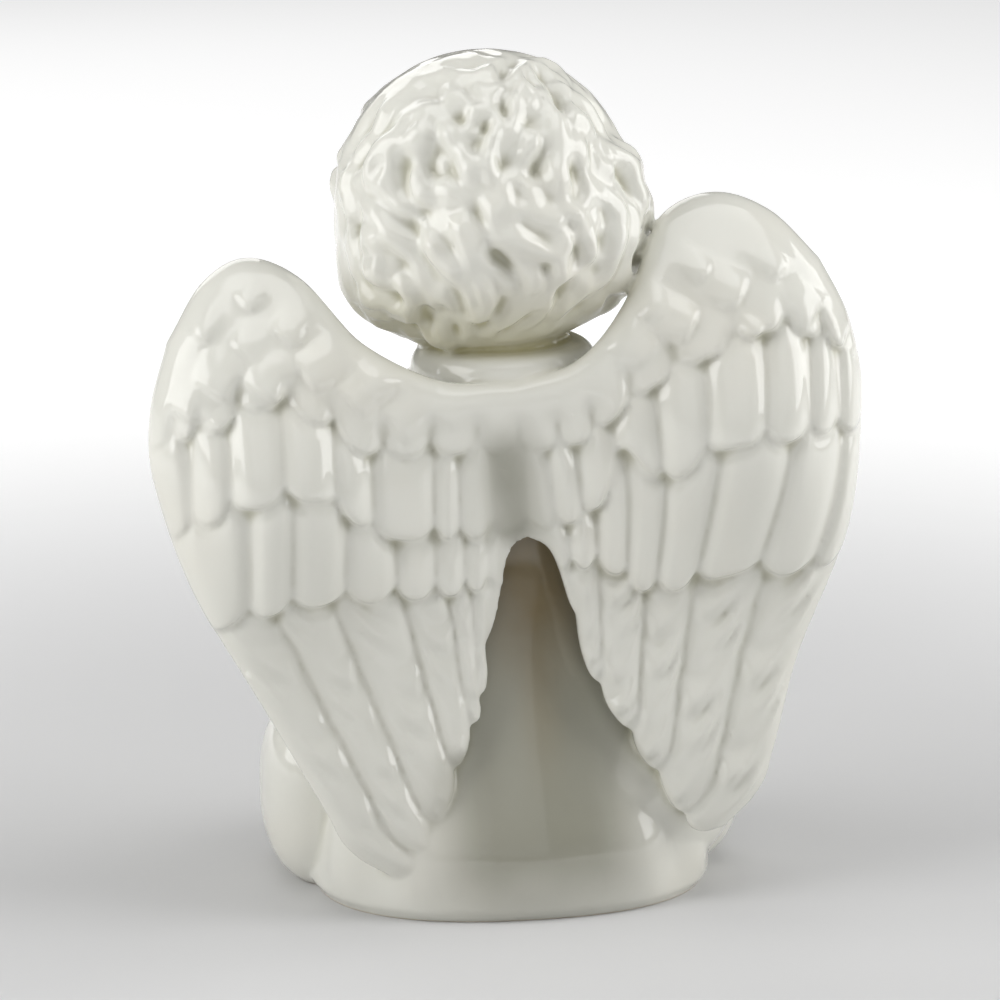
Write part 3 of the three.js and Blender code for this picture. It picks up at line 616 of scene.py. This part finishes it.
def skull():
    """A ball that swells towards the lower hair; outwards from it the hair adds its curls,
    calmer on the crown and along the seam of the mould at the sides, hangs lower at the nape,
    and is fuller on the crown and low at each side, by exp(-(dx / w)^2 - (dz / t)^2); the
    face adds its soft forms less its set back."""
    d = sphere_directions(520, 330)
    dx, dy, dz = d[..., 0], d[..., 1], d[..., 2]
    oval = np.hypot(dx / FACE_WIDTH, (dz + FACE_DROP) / FACE_HEIGHT)
    face = np.where(dy < 0, smoothstep(1.12, 0.92, oval), 0)
    under = smoothstep(-0.7, -0.95, dz)
    full = 1 + HAIR_FULLNESS * smoothstep(0.2, -0.6, dz) * (1 - face)
    p = d * np.array(HEAD_RADII)
    p[..., :2] *= full[..., None]
    calm = 1 - CROWN_CALM * smoothstep(0.7, 0.95, dz)
    calm *= 1 - SEAM_CALM * smoothstep(0.4, 0, np.abs(dy))
    reach = curls(p) * calm * (1 - face) * (1 - under) - HAIR_UNDERSIDE * under
    reach += NAPE_DEPTH * smoothstep(-0.65, -0.92, dz) * smoothstep(-0.1, 0.35, dy)
    turned = d @ turn_matrix(HEAD_PITCH, HEAD_ROLL, 0).T
    for side, more in SIDE_HAIR.items():
        x = (turned[..., 0] - SIDE_HAIR_PLACE[0] * side) / SIDE_HAIR_SPREAD[0]
        z = (turned[..., 2] - SIDE_HAIR_PLACE[1]) / SIDE_HAIR_SPREAD[1]
        reach += more * np.exp(-(x**2 + z**2)) * smoothstep(-0.5, -0.1, dy)
    reach += CROWN_HAIR * smoothstep(0.6, 0.95, dz)
    reach += (face_form(p[..., 0], p[..., 2]) - FACE_SET_BACK) * face
    return ring_shell(on_head(p + d * reach[..., None]))


def features():
    """A small nose, closed eyes and lips, set in the face."""
    tilt = (HEAD_PITCH, HEAD_ROLL, 0)
    shells = [ball(on_head(NOSE_PLACE), NOSE_RADII, tilt)]
    for side in (-1, 1):
        shells.append(ball(on_head(mirrored(EYE_PLACE, side)), EYE_RADII, tilt))
    for height, thick in LIPS:
        front = (*LIP_FRONT, height)
        line = [mirrored(MOUTH_CORNER, -1), mirrored(front, -1), front, MOUTH_CORNER]
        lip = lambda along, angle: (thick + 0 * along * angle, thick + 0.4 + 0 * along * angle)
        shells.append(sweep(on_head(line), lip, 24, 30))
    return shells


def on_feather(columns, across):
    """Which feather each place lies on, its place across that feather from -1 to 1, and its
    distance from the nearer groove in millimetres."""
    columns = np.array(columns)
    i = np.clip(np.searchsorted(columns, across) - 1, 0, len(columns) - 2)
    width = columns[i + 1] - columns[i]
    u = 2 * (across - columns[i]) / width - 1
    return i, u, (1 - np.abs(u)) / 2 * width * WING_SPAN


def wing_plane(side, across, along):
    """A patch blended from its four edge curves: top and end by along, middle and outer by
    across, less the corners counted twice. Each primary's tip stands out of the inner edge."""
    place = []
    for k in (1, 2):
        top, outer, end = (smooth_through(t, k) for t in (WING_TOP, WING_OUTER, WING_END))
        middle = 0 if k == 1 else mix(WING_TOP[0][2], WING_END[0][2], along)
        edges = mix(top(across), end(across), along) + mix(middle, outer(along), across)
        corners = mix(
            mix(WING_TOP[0][k], WING_TOP[-1][k], across),
            mix(WING_END[0][k], WING_END[-1][k], across),
            along,
        )
        place.append(edges - corners)
    x, z = place
    _, u, _ = on_feather(GROOVES[side][PRIMARIES], across)
    out = EDGE_SCALLOP * (0.65 - np.abs(u) ** FEATHER_ROUNDNESS) * smoothstep(0.8, 1, along)
    out = out * smoothstep(0.04, 0.1, across)
    saddle = SADDLE_SHIFT[side] * np.exp(-(((x - 31) / 13) ** 2)) * (1 - along) ** 2
    near = (z - OUTER_SHIFT_HEIGHT[side]) / OUTER_SHIFT_REACH[side]
    rim = OUTER_SHIFT[side] * np.exp(-(near**2)) * smoothstep(30, 60, x)
    tip = TIP_SHIFT[side] * smoothstep(22, 12, z)
    inner = INNER_SHIFT[side] * along**3 * smoothstep(66, 50, z) * smoothstep(12, 22, z)
    return x + rim + tip + inner - 0.65 * saddle - out * 0.75, z + 0.76 * saddle - out * 0.65


def row_edge(side, row, x, z, across):
    """Height of a row's lower edge: the row's curve, the rounding of each tip 0.5 - |u|^2.4
    below it, and a sine of the feather's number."""
    i, u, _ = on_feather(GROOVES[side][row], straight_down(side, row, x, z, across))
    hang = TIP_ROUNDING * (0.5 - np.abs(u) ** FEATHER_ROUNDNESS)
    return smooth_through(ROW_EDGES[side][row])(x) - hang - TIP_SHAKE * np.sin(2.3 * i + row)


def down(side, x, z):
    """Leaf-shaped feathers over the top of a wing, pointing outwards and down: each rises along
    its axis t to its tip at 0, drops off there, and falls as (1 - (n / w)^2)^0.6 across; the
    highest one counts at each place."""
    shake = np.random.default_rng(DOWN_SEED[side])
    height = np.zeros_like(x)
    for tip_x, tip_z, size in DOWN_LEAVES[side]:
        slant = shake.uniform(*DOWN_SLANT)
        dx, dz = (x - tip_x) / size, (z - tip_z) / size
        t = dx * math.sin(slant) - dz * math.cos(slant)
        n = dx * math.cos(slant) + dz * math.sin(slant)
        leaf = np.clip(1 - (n / LEAF_WIDTH) ** 2, 0, 1) ** 0.6 * smoothstep(-LEAF_LENGTH, -1.5, t)
        lift = DOWN_LIFT * shake.uniform(0.75, 1.1)
        height = np.maximum(height, lift * leaf * smoothstep(0.7, -0.6, t))
    return height * (0.4 + 0.6 * smoothstep(12, 34, x))


def straight_down(side, row, x, z, across):
    """Place across a row of coverts. On the left wing it is read where a plumb line meets the
    row's lower edge."""
    if side < 0 or row == PRIMARIES:
        return across
    edge = smooth_through(ROW_EDGES[side][row])(x)
    return np.clip((x + WING_LEAN * np.maximum(z - edge, -6)) / WING_SPAN, 0, 1.09)


def feathers(side, across, x, z):
    """Height of the carving, row by row from the primaries up: a feather's back falls as
    dome |u|^2.4 and groove exp(-(d / w)^2), rises towards its tip, and is tucked under the row
    above by tuck exp(-(distance / w)^2). Slanting barbs cross the long feathers, and all of
    it is shallower beside the spine."""
    edges = [row_edge(side, row, x, z, across) for row in range(PRIMARIES)]

    def back(row):
        place = straight_down(side, row, x, z, across)
        _, u, groove = on_feather(GROOVES[side][row], place)
        fall = FEATHER_DOME * np.abs(u) ** FEATHER_ROUNDNESS
        deep = FEATHER_GROOVE * (PRIMARY_GROOVE if row == PRIMARIES else 1)
        return u, -fall - deep * np.exp(-((groove / GROOVE_WIDTH) ** 2))

    def tuck(edge):
        return TUCK_DEPTH * np.exp(-((np.maximum(edge - z, 0) / TUCK_WIDTH) ** 2))

    u, height = back(PRIMARIES)
    along_back = 1 - np.abs(u) ** FEATHER_ROUNDNESS
    waves = np.sin(2 * math.pi * (z / BARB_SPACING - x / BARB_SLANT + along_back))
    waves = waves * (0.65 + 0.5 * np.sin(0.31 * x + 0.23 * z + 5 * across))
    height = height + BARB_DEPTH[side] * waves * along_back - tuck(edges[2])
    for row in (2, 1, 0):
        _, relief = back(row)
        high = edges[row - 1] if row else edges[0] + DOWN_HEIGHT
        rise = np.clip((high - z) / (high - edges[row]), 0, 1)
        if row:
            relief = relief - tuck(high)
        else:
            above = z - smooth_through(ROW_EDGES[side][0])(x)
            relief = relief * smoothstep(7, 1, above) + down(side, x, z)
        lift = FEATHER_LIFT if row else DOWN_EDGE_LIFT
        upper = lift * mix(0.25, 1, rise) + relief
        height = mix(height, upper, smoothstep(edges[row] - 1.4, edges[row] + 0.5, z))
    spine = smoothstep(0.3 * SPINE_WIDTH, 2 * SPINE_WIDTH, np.abs(side * x - SPINE_PLACE))
    return height * mix(0.4, 1, np.maximum(spine, smoothstep(90, 99, z)))


def wing_middle(x, z):
    """Depth of the middle of the wing's thickness: a swell over the shoulder blade, a forward
    lean of the top and a forward sweep of the outer edge."""
    swell = 5.5 * np.exp(-(((x - 44) / 17) ** 2) - ((z - 88) / 22) ** 2)
    lean = 15 * (np.maximum(z - 92, 0) / 38) ** 2 * smoothstep(0, 34, x)
    forward = 9 * (np.maximum(x - 50, 0) / 21) ** 2 * smoothstep(45, 85, z)
    return WING_DEPTH + 5 * smoothstep(60, 18, z) + swell - lean - forward


def wing_thickness(x, z):
    """Thickness behind and in front of the middle; a web in front ties the wing to the robe."""
    shoulder = smoothstep(95, 122, z) * smoothstep(8, 30, x)
    half = mix(WING_BLADE, WING_SHOULDER, shoulder) / 2
    web = WEB_DEPTH * np.exp(-(((x - 20) / 9) ** 2)) * smoothstep(12, 26, z)
    return half, half + web * smoothstep(100, 84, z) + 2.5 * smoothstep(12, 0, x)


def rim_distance(x, z, rim):
    """Distance in the wing plane from each place to the nearest point of the rim."""
    places = np.stack([x.ravel(), z.ravel()], 1)
    parts = np.array_split(places, 60)
    near = [((part[:, None] - rim[None]) ** 2).sum(-1).min(1) for part in parts]
    return np.sqrt(np.concatenate(near)).reshape(x.shape)


def wing(side):
    """Half of the wing pair on a grid of across and along: the carved back and the plain front
    lie at middle +- thickness times the quarter-round sqrt(1 - (1 - rim distance / r)^2), and
    the back sinks by hollow exp(-((x - place) / w)^2) along the spine."""
    across, along = np.meshgrid(np.linspace(0, 1, 260), np.linspace(0, 1, 340), indexing="ij")
    x, z = wing_plane(side, across, along)
    sides = (x[-1], z[-1]), (x[:, 0], z[:, 0]), (x[:, -1], z[:, -1])
    inset = rim_distance(x, z, np.concatenate([np.stack(pair, 1) for pair in sides]))
    full = np.sqrt(1 - (1 - np.clip(inset / RIM_ROUNDING, 0, 1)) ** 2)
    middle = wing_middle(x, z)
    behind, before = wing_thickness(x, z)
    lift = feathers(side, across, x, z)
    spine = np.exp(-(((side * x - SPINE_PLACE) / SPINE_WIDTH) ** 2)) * smoothstep(98, 82, z)
    back = middle + (behind + lift) * full - SPINE_HOLLOW * spine
    front = middle - (before + 0.35 * lift) * full
    c, s = math.cos(WING_LEAN), math.sin(WING_LEAN)
    up = z - WING_LEAN_HEIGHT
    place_x = side * x * c + up * s
    place_z = WING_LEAN_HEIGHT - side * x * s + up * c
    return [np.stack([place_x, y, place_z], -1) for y in (back, front)]


def wings():
    """Both halves side by side, the back and the front grid lying together along their rim."""
    back, front = (np.concatenate([r[:0:-1], l]) for l, r in zip(wing(1), wing(-1)))
    rows, columns = back.shape[:2]
    count = rows * columns
    i, j = np.meshgrid(np.arange(rows - 1), np.arange(columns - 1), indexing="ij")
    a = (i * columns + j).ravel()
    b, c, d = a + columns, a + columns + 1, a + 1
    near = np.concatenate([np.stack([a, b, c], 1), np.stack([a, c, d], 1)])
    far = near[:, ::-1] + count
    return np.concatenate([back.reshape(-1, 3), front.reshape(-1, 3)]), np.concatenate([near, far])


def joined(shells):
    """Points and triangles of all the shells as one list."""
    points, triangles, count = [], [], 0
    for shell_points, shell_triangles in shells:
        points.append(shell_points)
        triangles.append(shell_triangles + count)
        count += len(shell_points)
    return np.concatenate(points), np.concatenate(triangles)


def mesh_of(name, points, triangles):
    """A mesh in metres from points in millimetres."""
    mesh = bpy.data.meshes.new(name)
    mesh.vertices.add(len(points))
    mesh.vertices.foreach_set("co", (points * MM).astype(np.float32).ravel())
    mesh.loops.add(triangles.size)
    mesh.loops.foreach_set("vertex_index", triangles.astype(np.int32).ravel())
    mesh.polygons.add(len(triangles))
    mesh.polygons.foreach_set("loop_start", np.arange(0, triangles.size, 3, dtype=np.int32))
    mesh.update(calc_edges=True)
    return mesh


def finished(thing):
    """The object's mesh with its modifiers worked in."""
    bpy.context.view_layer.update()
    graph = bpy.context.evaluated_depsgraph_get()
    mesh = bpy.data.meshes.new_from_object(thing.evaluated_get(graph))
    thing.modifiers.clear()
    thing.data = mesh
    return mesh


def read(mesh):
    """Points in millimetres and the pairs of points that edges join."""
    points = np.empty(len(mesh.vertices) * 3, np.float32)
    mesh.vertices.foreach_get("co", points)
    edges = np.empty(len(mesh.edges) * 2, np.int32)
    mesh.edges.foreach_get("vertices", edges)
    return points.reshape(-1, 3).astype(float) / MM, edges.reshape(-1, 2)


def neighbour_mean(values, edges, degree):
    """Mean of each point's neighbours, one column at a time."""
    columns = []
    for k in range(values.shape[1]):
        total = np.bincount(edges[:, 0], values[edges[:, 1], k], len(values))
        total += np.bincount(edges[:, 1], values[edges[:, 0], k], len(values))
        columns.append(total / degree)
    return np.stack(columns, 1)


def point_normals(mesh):
    """The mesh's smooth normals."""
    normals = np.empty(len(mesh.vertices) * 3, np.float32)
    mesh.vertex_normals.foreach_get("vector", normals)
    return normals.reshape(-1, 3).astype(float)


def glaze_flow(mesh):
    """Fired glaze levels a surface: each round moves every point towards the mean of its
    neighbours, further in hollows, where glaze gathers, than on ridges."""
    points, edges = read(mesh)
    degree = np.maximum(np.bincount(edges.ravel(), minlength=len(points)), 1)
    for _ in range(FLOW_ROUNDS):
        pull = neighbour_mean(points, edges, degree) - points
        hollow = (pull * point_normals(mesh)).sum(1) > 0
        points += pull * np.where(hollow, HOLLOW_PULL, RIDGE_PULL)[:, None]
        mesh.vertices.foreach_set("co", (points * MM).astype(np.float32).ravel())
        mesh.update()


def hollow_depth(mesh):
    """How far each point lies under its smoothed surroundings, in millimetres: rounds of
    neighbour means, measured along the normal."""
    points, edges = read(mesh)
    degree = np.maximum(np.bincount(edges.ravel(), minlength=len(points)), 1)
    smooth = points.copy()
    for _ in range(POOL_ROUNDS):
        smooth = neighbour_mean(smooth, edges, degree)
    depth = ((smooth - points) * point_normals(mesh)).sum(1)
    for _ in range(3):
        depth = neighbour_mean(depth[:, None], edges, degree)[:, 0]
    return depth


def tints_and_painted_shade(points):
    """Where the glaze is darkened: an olive tint under the hair, deepest in the crease above the
    collar, partly the glaze's own tint and partly painted shade; brownish painted shade under the arch
    between the wings; and greyish painted shade down the robe's back and in the hollow of the spine."""
    x, y, z = points.T
    from_head = np.linalg.norm(points - np.array(HEAD_CENTRE), axis=1)
    # Olive under the hair and in the crease above the collar: partly the glaze's own tint, partly
    # painted shade
    hair = smoothstep(37, 34, from_head) * smoothstep(127, 108, z) * smoothstep(106.5, 108.5, z)
    crease = smoothstep(16.5, 14, np.hypot(x - NECK_PLACE[0], y - NECK_PLACE[1]))
    crease = crease * smoothstep(105.5, 107, z) * smoothstep(112, 108.5, z)
    limit = 31 - 14 * smoothstep(18, 48, z)
    cloth = smoothstep(limit + 2, limit - 1, y) * smoothstep(0, 6, y) * smoothstep(78, 74, z)
    lean = (z - WING_LEAN_HEIGHT) * WING_LEAN
    # Painted shade: a brownish darkening of the robe under the arch between the wings, with a darker
    # vertical streak down its middle
    streak = 0.35 * np.exp(-(((x + 4) / 4) ** 2)) * smoothstep(20, 40, z)
    arch = cloth * smoothstep(18, 5, np.abs(x - lean)) * (streak + smoothstep(36, 70, z))
    # Painted shade: a greyish darkening down the robe's back between the wings, and in the hollow of
    # the spine
    robe_back = cloth * smoothstep(26, 9, np.abs(x + 3)) * smoothstep(-8, 16, z)
    spine = np.exp(-(((x - lean - SPINE_PLACE) / SPINE_WIDTH) ** 2)) * smoothstep(98, 88, z)
    spine = 0.9 * spine * smoothstep(15, 18, y) * smoothstep(70, 75, z)
    return np.maximum(0.9 * hair, crease), np.minimum(arch, 1), np.maximum(robe_back, spine)


def cast_figure():
    """All the shells run together as one casting, glazed, cut flat underneath and thinned."""
    skirt = ball(SKIRT_PLACE, SKIRT_RADII, (0, 0, 0), 2, 120, 80)
    shells = [robe(), skirt, neck(), collar(), skull(), wings(), *features()]
    for side in (-1, 1):
        shells += [*leg(side), *foot(side), *arm(side), *hand(side)]
    casting = bpy.data.objects.new("angel_glazed", mesh_of("angel_glazed", *joined(shells)))
    bpy.context.scene.collection.objects.link(casting)
    grain = casting.modifiers.new("casting", "REMESH")
    grain.mode = "VOXEL"
    grain.voxel_size = CASTING_GRAIN * MM
    mesh = finished(casting)
    glaze_flow(mesh)

    # The olive mark is partly the glaze's own tint and partly painted shade; the other two marks are
    # painted shade
    olive, painted_arch_shade, painted_back_shade = tints_and_painted_shade(read(mesh)[0])
    depth = hollow_depth(mesh)
    marks = {"pooling": depth, "olive": olive, "painted_arch_shade": painted_arch_shade, "painted_back_shade": painted_back_shade}
    for name, values in marks.items():
        store = mesh.attributes.new(name, "FLOAT", "POINT")
        store.data.foreach_set("value", values.astype(np.float32))

    work = bmesh.new()
    work.from_mesh(mesh)
    whole = work.verts[:] + work.edges[:] + work.faces[:]
    cut = bmesh.ops.bisect_plane(
        work, geom=whole, dist=1e-6, plane_co=(0, 0, 0), plane_no=(0, 0, -1), clear_outer=True
    )
    rim = [e for e in cut["geom_cut"] if isinstance(e, bmesh.types.BMEdge)]
    bmesh.ops.contextual_create(work, geom=rim)
    work.to_mesh(mesh)
    work.free()

    triangles = sum(len(p.vertices) - 2 for p in mesh.polygons)
    if triangles > PIECE_TRIANGLES:
        thin = casting.modifiers.new("thinned", "DECIMATE")
        thin.ratio = PIECE_TRIANGLES / triangles
        thin.use_collapse_triangulate = True
        mesh = finished(casting)
    mesh.polygons.foreach_set("use_smooth", np.ones(len(mesh.polygons), bool))
    return casting


class Wire:
    """One output of a shader node. Sums and products of wires and numbers add Math nodes."""

    def __init__(self, tree, socket):
        self.tree = tree
        self.socket = socket

    def math(self, operation, first, second):
        node = self.tree.nodes.new("ShaderNodeMath")
        node.operation = operation
        for slot, value in zip(node.inputs, (first, second)):
            if isinstance(value, Wire):
                self.tree.links.new(value.socket, slot)
            else:
                slot.default_value = value
        return Wire(self.tree, node.outputs[0])

    def __add__(self, other):
        return self.math("ADD", self, other)

    __radd__ = __add__

    def __sub__(self, other):
        return self.math("SUBTRACT", self, other)

    def __mul__(self, other):
        return self.math("MULTIPLY", self, other)

    __rmul__ = __mul__


class Finish:
    """A material and its node tree."""

    def __init__(self, name):
        self.material = bpy.data.materials.new(name)
        self.material.use_nodes = True
        self.tree = self.material.node_tree
        self.tree.nodes.clear()

    def add(self, kind, settings=None, inputs=None, output=0):
        """Adds a node, its settings first, then the values or wires of its sockets."""
        node = self.tree.nodes.new(kind)
        for key, value in (settings or {}).items():
            setattr(node, key, value)
        for key, value in (inputs or {}).items():
            if isinstance(value, Wire):
                self.tree.links.new(value.socket, node.inputs[key])
            else:
                node.inputs[key].default_value = value
        return Wire(self.tree, node.outputs[output]) if node.outputs else None

    def ramp(self, value, low, high):
        """0 at low and 1 at high, smooth between them."""
        settings = {"interpolation_type": "SMOOTHSTEP"}
        return self.add("ShaderNodeMapRange", settings, {0: value, 1: low, 2: high})

    def blend(self, share, first, second):
        """A colour that goes from first to second with share."""
        settings = {"data_type": "RGBA"}
        colours = [c if isinstance(c, Wire) else (*c, 1) for c in (first, second)]
        inputs = {0: share, 6: colours[0], 7: colours[1]}
        return self.add("ShaderNodeMix", settings, inputs, 2)


GLAZE_WHITE = (0.77, 0.765, 0.70)
GLAZE_WARM = (0.77, 0.75, 0.67)
GLAZE_POOL = (0.50, 0.49, 0.39)
# Olive: partly the glaze's own tint, partly painted shade under the hair and in the neck crease
OLIVE_AND_PAINTED_SHADE = (0.43, 0.40, 0.235)
# Painted shade under the arch between the wings
PAINTED_SHADE_BROWN = (0.30, 0.24, 0.14)
# Painted shade down the robe's back and in the hollow of the spine
PAINTED_SHADE_GREY = (0.29, 0.285, 0.225)
BISQUE = (0.70, 0.64, 0.54)
GLOW = (0.62, 0.62, 0.62)
GLOW_FROM_TO = (0.1, 0.55)

# Floor in millimetres; soft boxes as place, width and height in metres, and power in watts
FLOOR_PAPER = (0.66, 0.66, 0.66)
FLOOR_ROUGHNESS = 0.9
FLOOR_RADIUS = 4000
FLOOR_SIDES = 96
FLOOR_DROP = 0.02
WORLD_LIGHT = 0.05
LIGHT_TARGET = (0, 0, 0.08)
LIGHTS = [
    ("box_left", (0.92, 0.17, 0.5), (0.8, 0.8), 6.6),
    ("box_right", (-0.92, 0.17, 0.5), (0.8, 0.8), 7.0),
    ("box_top", (0.0, 0.1, 1.1), (0.9, 0.9), 5.0),
    ("box_front", (0.2, -1.3, 0.7), (0.9, 0.6), 3.0),
    ("box_back", (0.1, 1.3, 0.6), (1.2, 1.0), 2.0),
]


def glaze():
    """White glaze over cream clay: deeper where it gathers in hollows, olive under the hair and in the
    neck crease, partly its own tint and partly painted shade, brownish and greyish painted shade
    between the wings and down the robe's back, warmer in broad patches, faintly uneven in gloss,
    and bare clay on the foot it stands on."""
    finish = Finish("glaze")
    place = finish.add("ShaderNodeTexCoord", output=3)
    pool = finish.add("ShaderNodeAttribute", {"attribute_name": "pooling"}, output=2)
    cloud = finish.add("ShaderNodeTexNoise", None, {"Vector": place, "Scale": 28, "Detail": 3})
    drift = finish.add("ShaderNodeTexNoise", None, {"Vector": place, "Scale": 190, "Detail": 4})
    height = finish.add("ShaderNodeSeparateXYZ", None, {0: place}, 2)
    depth = finish.ramp(pool + (drift - 0.5) * 0.08, 0.1, 0.7)
    body = finish.blend(finish.ramp(cloud, 0.45, 0.7) * 0.6, GLAZE_WHITE, GLAZE_WARM)
    olive = finish.add("ShaderNodeAttribute", {"attribute_name": "olive"}, output=2)
    painted_arch_shade = finish.add("ShaderNodeAttribute", {"attribute_name": "painted_arch_shade"}, output=2)
    painted_back_shade = finish.add("ShaderNodeAttribute", {"attribute_name": "painted_back_shade"}, output=2)
    colour = finish.blend(depth, body, GLAZE_POOL)
    # Olive under the hair and in the neck crease: partly the glaze's own tint, partly painted shade
    colour = finish.blend(olive * (0.45 + 0.55 * cloud) + olive * depth * 0.4, colour, OLIVE_AND_PAINTED_SHADE)
    # Painted shade down the robe's back and in the hollow of the spine
    colour = finish.blend(painted_back_shade * (0.72 + 0.3 * cloud), colour, PAINTED_SHADE_GREY)
    # Painted shade under the arch between the wings
    colour = finish.blend(painted_arch_shade * (0.75 + 0.4 * drift), colour, PAINTED_SHADE_BROWN)
    bare = finish.ramp(height, 0.0004, 0.0001)
    colour = finish.blend(bare, colour, BISQUE)
    gloss = 0.07 + 0.05 * finish.ramp(drift, 0.4, 0.7) + bare * 0.6
    orange_peel = finish.add("ShaderNodeTexNoise", None, {"Vector": place, "Scale": 320, "Detail": 2})
    bump = finish.add(
        "ShaderNodeBump", None, {"Strength": 0.12, "Distance": 0.0003, "Height": orange_peel}
    )
    shader = finish.add(
        "ShaderNodeBsdfPrincipled",
        None,
        {"Base Color": colour, "Roughness": gloss, "Normal": bump, "IOR": 1.52},
    )
    finish.add("ShaderNodeOutputMaterial", None, {"Surface": shader})
    return finish.material


def paper(name, colour, roughness):
    """A matt even paper for the studio, glowing a little more the further off it lies."""
    finish = Finish(name)
    place = finish.add("ShaderNodeTexCoord", output=3)
    grain = finish.add("ShaderNodeTexNoise", None, {"Vector": place, "Scale": 60, "Detail": 2})
    shade = finish.blend(grain * 0.04, colour, (0.8, 0.8, 0.8))
    far = finish.add("ShaderNodeVectorMath", {"operation": "LENGTH"}, {0: place}, 1)
    glow = finish.blend(finish.ramp(far, *GLOW_FROM_TO), (0, 0, 0), GLOW)
    shader = finish.add(
        "ShaderNodeBsdfPrincipled",
        None,
        {
            "Base Color": shade,
            "Roughness": roughness,
            "Emission Color": glow,
            "Emission Strength": 1,
        },
    )
    finish.add("ShaderNodeOutputMaterial", None, {"Surface": shader})
    return finish.material


def studio():
    """A wide pale floor, a soft box at either side, one overhead, and weaker ones in front of
    the figure and behind it."""
    angle = 2 * math.pi * np.arange(FLOOR_SIDES) / FLOOR_SIDES
    round_floor = [FLOOR_RADIUS * np.cos(angle), FLOOR_RADIUS * np.sin(angle)]
    rim = np.stack([*round_floor, 0 * angle - FLOOR_DROP], 1)
    floor = bpy.data.meshes.new("floor")
    floor.from_pydata((rim * MM).tolist(), [], [tuple(range(FLOOR_SIDES))])
    ground = bpy.data.objects.new("floor", floor)
    floor.materials.append(paper("floor_paper", FLOOR_PAPER, FLOOR_ROUGHNESS))
    bpy.context.scene.collection.objects.link(ground)

    for name, place, size, power in LIGHTS:
        data = bpy.data.lights.new(name, "AREA")
        data.shape = "RECTANGLE"
        data.size, data.size_y = size
        data.energy = power
        lamp = bpy.data.objects.new(name, data)
        lamp.location = place
        way = Vector(LIGHT_TARGET) - Vector(place)
        lamp.rotation_euler = way.to_track_quat("-Z", "Y").to_euler()
        bpy.context.scene.collection.objects.link(lamp)

    world = bpy.data.worlds.new("studio")
    world.use_nodes = True
    world.node_tree.nodes["Background"].inputs[0].default_value = (1, 1, 1, 1)
    world.node_tree.nodes["Background"].inputs[1].default_value = WORLD_LIGHT
    bpy.context.scene.world = world
    bpy.context.scene.view_settings.view_transform = "Standard"


def camera():
    """A long lens at the photograph's turn and rise, aimed at the figure's middle."""
    turn, rise = math.radians(180 - VIEW_TURN), math.radians(VIEW_RISE)
    back = Vector(
        (math.sin(turn) * math.cos(rise), -math.cos(turn) * math.cos(rise), math.sin(rise))
    )
    data = bpy.data.cameras.new("view")
    data.lens = VIEW_LENS
    data.sensor_width = VIEW_FILM
    data.shift_x, data.shift_y = VIEW_SHIFT
    view = bpy.data.objects.new("view", data)
    view.location = Vector(VIEW_TARGET) + back * VIEW_DISTANCE
    view.rotation_euler = (-back).to_track_quat("-Z", "Y").to_euler()
    bpy.context.scene.collection.objects.link(view)
    bpy.context.scene.camera = view


camera()
studio()
figure = cast_figure()
figure.data.materials.append(glaze())
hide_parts("angel_figurine")
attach(figure, "root")

print("triangles", sum(len(p.vertices) - 2 for p in figure.data.polygons))
